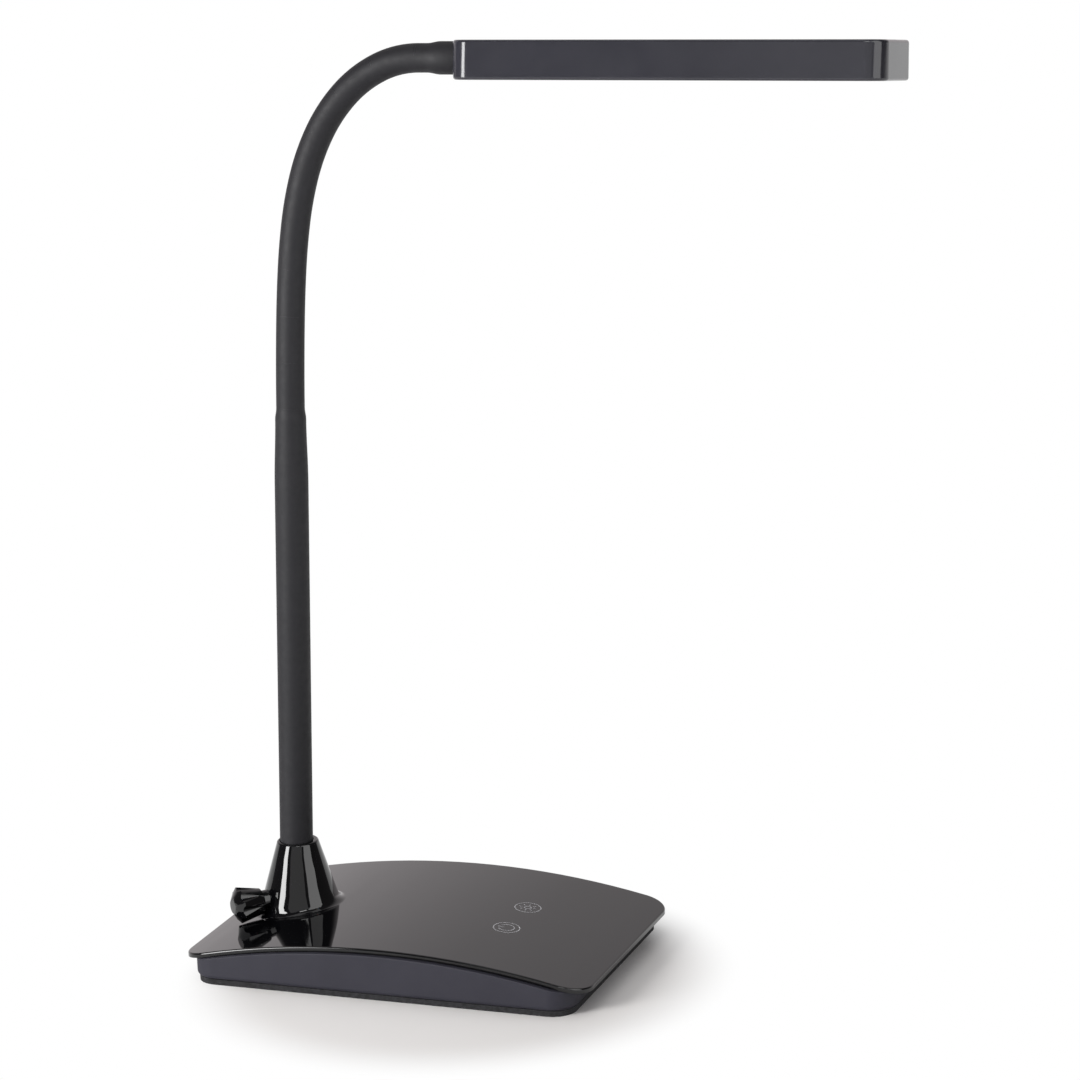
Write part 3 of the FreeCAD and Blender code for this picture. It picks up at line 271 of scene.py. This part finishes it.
def pad_printing_ink():
    """Pale grey pad-printing ink."""
    return surface("pad_printing_ink", "#a3a3a6", "#b2b2b5", 2, (0.35, 0.45), grit=0.4, depth=0.002)


FINISHES = {
    "piano_black": piano_black_abs(),
    "housing_plastic": moulded_matte_abs(),
    "foam": eva_foam(),
    "soft_touch": soft_touch_silicone(),
    "head_plastic": satin_black_abs(),
    "bezel_plastic": moulded_matte_abs(),
    "opal": opal_acrylic(),
    "zinc_steel": zinc_plated_steel(),
    "ballast_steel": rolled_steel(),
    "tube_steel": drawn_steel(),
    "brass": turned_brass(),
    "nylon": natural_nylon(),
    "board": solder_mask_green(),
    "white_board": white_solder_mask(),
    "chips": epoxy_moulding(),
    "led_yellow": phosphor_silicone(),
    "spreader": sheet_aluminium(),
    "cable_sheath": pvc_sheath(),
    "electrode_foam": conductive_foam(),
    "jack_plastic": epoxy_moulding(),
}
INK = pad_printing_ink()
SLOT_OF = {entry["node"]: entry["material_slot"] for entry in frame["record"]["subparts"]}
BODY_OF = {node: body for body, members in frame["record"]["behaviour"]["bodies"].items() for node in members}
JOINTS = {joint["name"]: joint for joint in frame["joints"]}


def finish_node(name):
    """The carried-over node gets its own material."""
    mesh = frame["nodes"][name].data
    mesh.materials.clear()
    mesh.materials.append(FINISHES[SLOT_OF[name]])


for name in frame["nodes"]:
    finish_node(name)


# Mesh helpers


def piece(name, mesh, slot, body=None):
    """A finished piece at the origin, with its material, riding on its body."""
    made = bpy.data.objects.new(name, mesh)
    bpy.context.scene.collection.objects.link(made)
    mesh.materials.clear()
    mesh.materials.append(FINISHES[slot] if slot in FINISHES else slot)
    if body:
        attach(made, body)
    return made


def evaluated_mesh(made):
    """The mesh that an object's modifiers give, as plain data; the object itself goes."""
    mesh = bpy.data.meshes.new_from_object(made.evaluated_get(bpy.context.evaluated_depsgraph_get()))
    bpy.data.objects.remove(made)
    return mesh


def smooth_copy(node):
    """The node's own form with its triangles joined and its curved faces shaded by their large neighbours."""
    mesh = frame["nodes"][node].data.copy()
    work = bmesh.new()
    work.from_mesh(mesh)
    bmesh.ops.remove_doubles(work, verts=work.verts, dist=JOIN_DISTANCE)
    bmesh.ops.dissolve_degenerate(work, edges=work.edges, dist=FLAT_DISTANCE)
    for face in work.faces:
        face.smooth = True
    for edge in work.edges:
        if len(edge.link_faces) == 2 and edge.calc_face_angle() > math.radians(SHARP_ANGLE):
            edge.smooth = False
    work.to_mesh(mesh)
    work.free()
    if "custom_normal" in mesh.attributes:
        mesh.attributes.remove(mesh.attributes["custom_normal"])
    shaped = bpy.data.objects.new(node + "_shape", mesh)
    bpy.context.scene.collection.objects.link(shaped)
    weighting = shaped.modifiers.new("weighting", "WEIGHTED_NORMAL")
    weighting.keep_sharp = True
    made = piece(node + "_skin", evaluated_mesh(shaped), SLOT_OF[node], BODY_OF[node])
    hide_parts(node)


def lathe(name, profile, place):
    """A turned mesh from (radius, height) pairs in millimetres, standing at a placement matrix."""
    work = bmesh.new()
    rings = []
    for radius, height in profile:
        ring = []
        for step in range(ROUND_SIDES):
            angle = 2 * math.pi * step / ROUND_SIDES
            spot = Vector((math.cos(angle) * radius, math.sin(angle) * radius, height)) * MM
            ring.append(work.verts.new(place @ spot))
        rings.append(ring)
    for lower, upper in zip(rings, rings[1:]):
        for step in range(ROUND_SIDES):
            after = (step + 1) % ROUND_SIDES
            work.faces.new((lower[step], lower[after], upper[after], upper[step]))
    for face in work.faces:
        face.smooth = True
    mesh = bpy.data.meshes.new(name)
    work.to_mesh(mesh)
    work.free()
    return mesh


# Geometry trees: each is built once and given its sizes for every piece


def start_tree(name, sizes):
    """A geometry tree with its named inputs, and the node that gives them."""
    tree = bpy.data.node_groups.new(name, "GeometryNodeTree")
    for label, kind in sizes.items():
        tree.interface.new_socket(label, in_out="INPUT", socket_type=kind)
    tree.interface.new_socket("Geometry", in_out="OUTPUT", socket_type="NodeSocketGeometry")
    return tree, add_node(tree, "NodeGroupInput").outputs


def end_tree(tree, geometry, finish):
    """Instances made real, the finish set, and the result given out."""
    real = add_node(tree, "GeometryNodeRealizeInstances", {"Geometry": geometry})
    finished = add_node(tree, "GeometryNodeSetMaterial", {"Geometry": real.outputs["Geometry"],
                                                          "Material": finish})
    add_node(tree, "NodeGroupOutput", {"Geometry": finished.outputs["Geometry"]})


def grown(name, tree, sizes):
    """The plain mesh that a tree makes with these sizes."""
    seed = bpy.data.objects.new(name + "_seed", bpy.data.meshes.new(name + "_seed"))
    bpy.context.scene.collection.objects.link(seed)
    modifier = seed.modifiers.new("tree", "NODES")
    modifier.node_group = tree
    for item in tree.interface.items_tree:
        if item.in_out == "INPUT":
            modifier[item.identifier] = sizes[item.name]
    mesh = evaluated_mesh(seed)
    mesh.name = name
    return mesh


def neck_tree():
    """A round part swept along a bend that leaves Start and reaches End along the lines to Corner."""
    tree, sizes = start_tree("neck_sleeve", {
        "Start": "NodeSocketVector", "Corner": "NodeSocketVector", "End": "NodeSocketVector",
        "Radius": "NodeSocketFloat", "Rings": "NodeSocketInt", "Sides": "NodeSocketInt",
        "Finish": "NodeSocketMaterial"})
    bend = add_node(tree, "GeometryNodeCurveQuadraticBezier", {
        "Resolution": sizes["Rings"], "Start": sizes["Start"], "Middle": sizes["Corner"],
        "End": sizes["End"]})
    section = add_node(tree, "GeometryNodeCurvePrimitiveCircle", {"Resolution": sizes["Sides"],
                                                                  "Radius": sizes["Radius"]})
    sweep = add_node(tree, "GeometryNodeCurveToMesh", {"Curve": bend.outputs["Curve"],
                                                       "Profile Curve": section.outputs["Curve"]})
    smooth = add_node(tree, "GeometryNodeSetShadeSmooth", {"Geometry": sweep.outputs["Mesh"]})
    end_tree(tree, smooth.outputs["Geometry"], sizes["Finish"])
    return tree


# Neck: a sleeve over a steel core, both in lengths that meet halfway along each link

NECK_NAMES = sorted((name for name in JOINTS if name.startswith("neck_")),
                    key=lambda name: int(name.split("_")[1]))
CENTRES = [Vector(JOINTS[name]["pos_m"]) for name in NECK_NAMES]
TUBE_AXIS = Vector(JOINTS["arm_swivel"]["axis"]).normalized()
ENTRY = Vector(JOINTS["arm_swivel"]["pos_m"])
HEAD_AXIS = Vector((1.0, 0.0, 0.0))
STATIONS = [CENTRES[0] - TUBE_AXIS * HALF_LINK * MM]
STATIONS += [(start + end) / 2 for start, end in zip(CENTRES, CENTRES[1:])]
STATIONS += [CENTRES[-1] + HEAD_AXIS * HALF_LINK * MM]
NECK_TREE = neck_tree()


def neck_piece(part, number, radius, finish, sides):
    """A round part across one joint: a smooth bend between the middles of the two links that it joins."""
    start, corner, end = STATIONS[number], CENTRES[number], STATIONS[number + 1]
    name = f"neck_{part}_{number + 1}"
    made = piece(name, grown(name, NECK_TREE, {
        "Start": start, "Corner": corner, "End": end, "Radius": radius * MM,
        "Rings": BEND_RINGS, "Sides": sides, "Finish": FINISHES[finish]}), finish)
    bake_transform(made)
    return made


for part, radius, finish, sides in (("sleeve", HOSE_RADIUS, "soft_touch", ROUND_SIDES),
                                    ("core", CORE_RADIUS, "tube_steel", CORE_SIDES)):
    bends = [neck_piece(part, number, radius, finish, sides) for number in range(len(CENTRES))]
    for number, made in enumerate(bends[:-1], start=1):
        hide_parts(f"{part}_{number}")


def standing(origin, direction):
    """The placement that stands a turned mesh on a point, along a direction."""
    return Matrix.Translation(origin) @ direction.to_track_quat("Z", "Y").to_matrix().to_4x4()


def height_along(height):
    """Distance up the tube's axis from the cone's mouth to a height above the desk, in millimetres."""
    return (height * MM - ENTRY.z) / TUBE_AXIS.z / MM


def eased(start, end):
    """Points of a soft S between two (radius, height) pairs."""
    shares = [step / EASE_STEPS for step in range(1, EASE_STEPS + 1)]
    return [(start[0] + (end[0] - start[0]) * share * share * (3 - 2 * share),
             start[1] + (end[1] - start[1]) * share) for share in shares]


def lower_sleeve_piece():
    """The thicker sleeve of the rigid tube, easing in two steps to the bending part's."""
    shoulder = (LOWER_SLEEVE_RADIUS, height_along(SLEEVE_SHOULDER_HEIGHT))
    neck_end = (SLEEVE_NECK_RADIUS, height_along(SLEEVE_NECK_HEIGHT))
    hose_start = (HOSE_RADIUS, height_along(SLEEVE_END_HEIGHT))
    top = (HOSE_RADIUS, (STATIONS[0] - ENTRY).dot(TUBE_AXIS) / MM)
    profile = [(HOSE_RADIUS, -SLEEVE_FOOT_DEPTH), (LOWER_SLEEVE_RADIUS, -SLEEVE_FOOT_DEPTH)]
    profile += [(LOWER_SLEEVE_RADIUS, shoulder[1] * step / SLEEVE_STEPS) for step in range(SLEEVE_STEPS + 1)]
    profile += eased(shoulder, neck_end) + eased(neck_end, hose_start) + [top]
    made = piece("lower_sleeve_skin", lathe("lower_sleeve_skin", profile, standing(ENTRY, TUBE_AXIS)),
                 "soft_touch", "arm")
    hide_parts("lower_sleeve")


def head_sleeve_piece():
    """The last length of the sleeve, thicker where it meets the head."""
    origin = STATIONS[-1]
    length = (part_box("head_shell")[0][0] - origin.x) / MM
    profile = [(HOSE_RADIUS, 0), (HOSE_RADIUS, length - HEAD_FLARE_START)]
    profile += eased(profile[-1], (HEAD_SLEEVE_RADIUS, length - HEAD_FLARE_END))
    profile += [(HEAD_SLEEVE_RADIUS, length - SLEEVE_EDGE_LENGTH),
                (HEAD_SLEEVE_RADIUS - SLEEVE_EDGE_DROP, length), (HOSE_RADIUS - SLEEVE_END_INSET, length)]
    made = piece("head_sleeve_skin", lathe("head_sleeve_skin", profile, standing(origin, HEAD_AXIS)),
                 "soft_touch", "head")
    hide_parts("head_sleeve")


lower_sleeve_piece()
head_sleeve_piece()

# Printed touch marks


def lay_on_plate(tree, geometry, across, along, sizes):
    """Flat ink, at places across and along the plate, laid on its arch."""
    squared = add_node(tree, "ShaderNodeMath", {0: across, 1: across}, operation="MULTIPLY")
    left = add_node(tree, "ShaderNodeMath", {0: (ARCH_RADIUS * MM) ** 2, 1: squared.outputs[0]},
                    operation="SUBTRACT")
    rise = add_node(tree, "ShaderNodeMath", {0: left.outputs[0]}, operation="SQRT")
    height = add_node(tree, "ShaderNodeMath", {0: rise.outputs[0], 1: sizes["Axis height"]}, operation="ADD")
    place = add_node(tree, "ShaderNodeCombineXYZ", {"X": across, "Y": along, "Z": height.outputs[0]})
    laid = add_node(tree, "GeometryNodeSetPosition", {"Geometry": geometry,
                                                      "Position": place.outputs["Vector"]})
    smooth = add_node(tree, "GeometryNodeSetShadeSmooth", {"Geometry": laid.outputs["Geometry"]})
    return smooth.outputs["Geometry"]


def ring_tree():
    """A line of ink round a centre, whole or from one angle through a sweep."""
    tree, sizes = start_tree("ink_ring", {
        "Centre": "NodeSocketVector", "Radius": "NodeSocketFloat", "Line": "NodeSocketFloat",
        "Turn": "NodeSocketFloat", "Sweep": "NodeSocketFloat", "Steps": "NodeSocketInt",
        "Axis height": "NodeSocketFloat", "Finish": "NodeSocketMaterial"})
    strip = add_node(tree, "GeometryNodeMeshGrid", {"Size X": 1.0, "Size Y": 1.0,
                                                    "Vertices X": sizes["Steps"], "Vertices Y": 2})
    position = add_node(tree, "GeometryNodeInputPosition")
    spot = add_node(tree, "ShaderNodeSeparateXYZ", {"Vector": position.outputs[0]})
    share = add_node(tree, "ShaderNodeMath", {0: spot.outputs["X"], 1: 0.5}, operation="ADD")
    angle = add_node(tree, "ShaderNodeMath", {0: share.outputs[0], 1: sizes["Sweep"], 2: sizes["Turn"]},
                     operation="MULTIPLY_ADD")
    reach = add_node(tree, "ShaderNodeMath", {0: spot.outputs["Y"], 1: sizes["Line"], 2: sizes["Radius"]},
                     operation="MULTIPLY_ADD")
    centre = add_node(tree, "ShaderNodeSeparateXYZ", {"Vector": sizes["Centre"]})
    sides = []
    for operation, axis in (("COSINE", "X"), ("SINE", "Y")):
        spoke = add_node(tree, "ShaderNodeMath", {0: angle.outputs[0]}, operation=operation)
        side = add_node(tree, "ShaderNodeMath", {0: spoke.outputs[0], 1: reach.outputs[0],
                                                 2: centre.outputs[axis]}, operation="MULTIPLY_ADD")
        sides.append(side.outputs[0])
    laid = lay_on_plate(tree, strip.outputs["Mesh"], *sides, sizes)
    turned_up = add_node(tree, "GeometryNodeFlipFaces", {"Mesh": laid})
    end_tree(tree, turned_up.outputs["Mesh"], sizes["Finish"])
    return tree


def ray_tree():
    """Short lines of ink set evenly round a centre."""
    tree, sizes = start_tree("ink_rays", {
        "Centre": "NodeSocketVector", "Near": "NodeSocketFloat", "Length": "NodeSocketFloat",
        "Line": "NodeSocketFloat", "Turn": "NodeSocketFloat", "Count": "NodeSocketInt",
        "Axis height": "NodeSocketFloat", "Finish": "NodeSocketMaterial"})
    line = add_node(tree, "GeometryNodeMeshGrid", {"Size X": sizes["Length"], "Size Y": sizes["Line"],
                                                   "Vertices X": 5, "Vertices Y": 2})
    middle = add_node(tree, "ShaderNodeMath", {0: sizes["Length"], 1: 0.5, 2: sizes["Near"]},
                      operation="MULTIPLY_ADD")
    offset = add_node(tree, "ShaderNodeCombineXYZ", {"X": middle.outputs[0]})
    ray = add_node(tree, "GeometryNodeTransform", {"Geometry": line.outputs["Mesh"],
                                                   "Translation": offset.outputs["Vector"]})
    spots = add_node(tree, "GeometryNodeMeshLine", {
        "Count": sizes["Count"], "Start Location": sizes["Centre"], "Offset": (0.0, 0.0, 0.0)})
    step = add_node(tree, "ShaderNodeMath", {0: math.tau, 1: sizes["Count"]}, operation="DIVIDE")
    angle = add_node(tree, "ShaderNodeMath", {0: add_node(tree, "GeometryNodeInputIndex").outputs[0],
                                              1: step.outputs[0], 2: sizes["Turn"]}, operation="MULTIPLY_ADD")
    turn = add_node(tree, "ShaderNodeCombineXYZ", {"Z": angle.outputs[0]})
    set_round = add_node(tree, "GeometryNodeInstanceOnPoints", {"Points": spots.outputs["Mesh"],
                                                                "Instance": ray.outputs["Geometry"],
                                                                "Rotation": turn.outputs["Vector"]})
    flat = add_node(tree, "GeometryNodeRealizeInstances", {"Geometry": set_round.outputs["Instances"]})
    position = add_node(tree, "GeometryNodeInputPosition")
    spot = add_node(tree, "ShaderNodeSeparateXYZ", {"Vector": position.outputs[0]})
    end_tree(tree, lay_on_plate(tree, flat.outputs["Geometry"], spot.outputs["X"], spot.outputs["Y"], sizes),
             sizes["Finish"])
    return tree


RING_TREE = ring_tree()
RAY_TREE = ray_tree()
INK_AXIS = (CROWN_HEIGHT + PRINT_THICKNESS - ARCH_RADIUS) * MM


def ink_ring(name, centre, radius, turn=0.0, sweep=360.0):
    """A printed ring, or a part of one, with sizes in millimetres and degrees."""
    piece(name, grown(name, RING_TREE, {
        "Centre": centre, "Radius": radius * MM, "Line": TOUCH_LINE * MM, "Turn": math.radians(turn),
        "Sweep": math.radians(sweep), "Steps": RING_STEPS, "Axis height": INK_AXIS,
        "Finish": INK}), INK, "base")


def ink_rays(name, centre, near, length, turn=0.0, count=1):
    """Printed lines that start near a centre and point away from it."""
    piece(name, grown(name, RAY_TREE, {
        "Centre": centre, "Near": near * MM, "Length": length * MM, "Line": TOUCH_LINE * MM,
        "Turn": math.radians(turn), "Count": count, "Axis height": INK_AXIS, "Finish": INK}), INK, "base")


def touch_marks():
    """The power sign, and a small sun for the brightness, each in its ring; their tops point to the cone."""
    near = Vector((TOUCH_SPOT[0], -TOUCH_SPOT[1], 0)) * MM
    far = Vector((TOUCH_SPOT[0], TOUCH_SPOT[1], 0)) * MM
    for name, centre in (("power_ring", near), ("brightness_ring", far)):
        ink_ring(name, centre, TOUCH_RING_RADIUS - TOUCH_LINE / 2)
    ink_ring("power_arc", near, POWER_ARC_RADIUS, SIGN_TOP + POWER_GAP / 2, 360 - POWER_GAP)
    ink_rays("power_bar", near, POWER_BAR_START, POWER_BAR_LENGTH, SIGN_TOP)
    ink_ring("sun_disc", far, SUN_DISC_RADIUS)
    ink_rays("sun_rays", far, SUN_RAY_START, SUN_RAY_LENGTH, count=SUN_RAY_COUNT)


touch_marks()

SMOOTHED = ["base_cover", "base_housing", "base_pad", "lock_knob", "head_shell", "head_bezel", "diffuser",
            "power_jack", "lock_stud", "stud_insert"]
for name in SMOOTHED:
    smooth_copy(name)

# Floor, light and camera

# Lengths here are in metres. Each pair of the floor and the backdrop is the start and end of a change.
FLOOR_REACH = 6.0
FLOOR_COLOUR = "#fbf8f5"
SHADOW_MIDDLE = (0.02, -0.02, 0.0)
SHADOW_REACH = (0.085, 0.125)
BACKDROP_WAY = (-0.38, 0.92, 0.0)
BACKDROP_EDGE = (0.35, 0.75)
BACKDROP_RISE = (0.06, 0.4)
BACKDROP_LEVEL = (0.95, 0.65)
GLOSS_TINT = (1.0, 0.945, 0.96)
ROOM_LEVEL = 0.1
AMBIENT = (0.4, 0.4, 0.41, 1.0)
KEY_PLACE, KEY_TARGET, KEY_SIZE = (-0.84, -1.06, 0.5), (0, 0, 0.15), (0.43, 0.86)

# Each panel's place, target, width and height, and the brightness of its face.
LAMPS = {
    "key_strip": (KEY_PLACE, KEY_TARGET, KEY_SIZE, 16),
    "overhead": ((-0.3, 0.3, 1.8), (0, 0, 0), (1.2, 1.2), 0.7),
}

# Cards that light nothing and show only in gloss, where they draw the stripes on the cone and the head.
GLOSS_CARDS = {
    "key_card": (KEY_PLACE, KEY_TARGET, KEY_SIZE, 7),
    "side_card": ((1.3, -0.51, 0.95), (0, 0, 0.2), (1.15, 1.9), 2.6),
    "room_card": ((0.5, -2.2, 0.9), (0, 0, 0.3), (2.4, 2.2), 0.6),
    "front_card": ((0.3, -0.9, 1.35), (0, 0, 0.05), (0.5, 0.3), 7),
}


def floor():
    """A pale matte floor that holds the lamp's shadow and goes over to plain white away from it."""
    work = bmesh.new()
    bmesh.ops.create_grid(work, x_segments=1, y_segments=1, size=FLOOR_REACH)
    mesh = bpy.data.meshes.new("floor")
    work.to_mesh(mesh)
    work.free()
    made = bpy.data.objects.new("floor", mesh)
    bpy.context.scene.collection.objects.link(made)
    material = bpy.data.materials.new("pale_floor")
    material.use_nodes = True
    tree = material.node_tree
    tree.nodes.clear()
    coordinates = add_node(tree, "ShaderNodeTexCoord")
    reach = add_node(tree, "ShaderNodeVectorMath", {0: coordinates.outputs["Object"], 1: SHADOW_MIDDLE},
                     operation="DISTANCE")
    away = add_node(tree, "ShaderNodeMapRange", {
        "Value": reach.outputs["Value"], "From Min": SHADOW_REACH[0], "From Max": SHADOW_REACH[1],
    }, interpolation_type="SMOOTHSTEP")
    path = add_node(tree, "ShaderNodeLightPath")
    direct = add_node(tree, "ShaderNodeMath", {0: path.outputs["Is Camera Ray"],
                                               1: path.outputs["Is Glossy Ray"]}, operation="MAXIMUM")
    seen = add_node(tree, "ShaderNodeMath", {0: direct.outputs[0], 1: path.outputs["Is Transmission Ray"]},
                    operation="MAXIMUM")
    plain = add_node(tree, "ShaderNodeMath", {0: seen.outputs[0], 1: away.outputs["Result"]},
                     operation="MULTIPLY")
    matte = add_node(tree, "ShaderNodeBsdfDiffuse", {"Color": linear(FLOOR_COLOUR)})
    white = add_node(tree, "ShaderNodeEmission", {"Color": WHITE, "Strength": 1.0})
    shown = add_node(tree, "ShaderNodeMixShader", {0: plain.outputs[0], 1: matte.outputs["BSDF"],
                                                   2: white.outputs["Emission"]})
    add_node(tree, "ShaderNodeOutputMaterial", {"Surface": shown.outputs["Shader"]})
    mesh.materials.append(material)


def area_light(name, place, target, size, level, lights=True):
    """A soft panel whose own face has this brightness. One that doesn't light shows only in gloss."""
    lamp = bpy.data.lights.new(name, "AREA")
    lamp.shape = "RECTANGLE"
    lamp.size, lamp.size_y = size
    lamp.energy = level * math.pi * size[0] * size[1]
    made = bpy.data.objects.new(name, lamp)
    made.location = place
    made.rotation_euler = (Vector(target) - Vector(place)).to_track_quat("-Z", "Y").to_euler()
    made.visible_diffuse = lights
    bpy.context.scene.collection.objects.link(made)


def world():
    """White to the camera. Gloss doesn't see that white: it sees a tinted backdrop behind the lamp, paler by
    the floor than overhead, and a dim room before it. The rest is soft grey light."""
    made = bpy.data.worlds.new("studio")
    bpy.context.scene.world = made
    made.use_nodes = True
    tree = made.node_tree
    tree.nodes.clear()
    way = add_node(tree, "ShaderNodeTexCoord").outputs["Generated"]
    rise = add_node(tree, "ShaderNodeSeparateXYZ", {"Vector": way})
    backdrop = add_node(tree, "ShaderNodeMapRange", {
        "Value": rise.outputs["Z"], "From Min": BACKDROP_RISE[0], "From Max": BACKDROP_RISE[1],
        "To Min": BACKDROP_LEVEL[0], "To Max": BACKDROP_LEVEL[1]})
    facing = add_node(tree, "ShaderNodeVectorMath", {0: way, 1: BACKDROP_WAY}, operation="DOT_PRODUCT")
    behind = add_node(tree, "ShaderNodeMapRange", {
        "Value": facing.outputs["Value"], "From Min": BACKDROP_EDGE[0], "From Max": BACKDROP_EDGE[1],
    }, interpolation_type="SMOOTHSTEP")
    studio = add_node(tree, "ShaderNodeMix", {"Factor": behind.outputs["Result"], "A": ROOM_LEVEL,
                                              "B": backdrop.outputs["Result"]})
    warm = add_node(tree, "ShaderNodeVectorMath", {0: GLOSS_TINT, "Scale": studio.outputs["Result"]},
                    operation="SCALE")
    path = add_node(tree, "ShaderNodeLightPath")
    gloss = add_node(tree, "ShaderNodeMixRGB", {"Fac": path.outputs["Is Glossy Ray"], "Color1": AMBIENT,
                                                "Color2": warm.outputs["Vector"]})
    direct = add_node(tree, "ShaderNodeMath", {0: path.outputs["Is Camera Ray"],
                                               1: path.outputs["Is Transmission Ray"]}, operation="MAXIMUM")
    seen = add_node(tree, "ShaderNodeMixRGB", {"Fac": direct.outputs[0], "Color1": gloss.outputs["Color"],
                                               "Color2": WHITE})
    background = add_node(tree, "ShaderNodeBackground", {"Color": seen.outputs["Color"], "Strength": 1.0})
    add_node(tree, "ShaderNodeOutputWorld", {"Surface": background.outputs["Background"]})


def camera():
    """The photograph's own viewpoint."""
    right = Vector((0.93971, 0.34007, -0.03594))
    up = Vector((-0.04609, 0.23008, 0.97208))
    back = right.cross(up)
    place = Vector((0.57958, -1.40013, 0.54746))
    lens = bpy.data.cameras.new("camera")
    lens.sensor_width = 36.0
    lens.lens = 120.0
    made = bpy.data.objects.new("camera", lens)
    turn = Matrix((right, up, back)).transposed().to_4x4()
    made.matrix_world = Matrix.Translation(place) @ turn
    bpy.context.scene.collection.objects.link(made)
    bpy.context.scene.camera = made


floor()
world()
for name, panel in LAMPS.items():
    area_light(name, *panel)
for name, panel in GLOSS_CARDS.items():
    area_light(name, *panel, lights=False)
camera()
bpy.context.scene.view_settings.view_transform = "Standard"
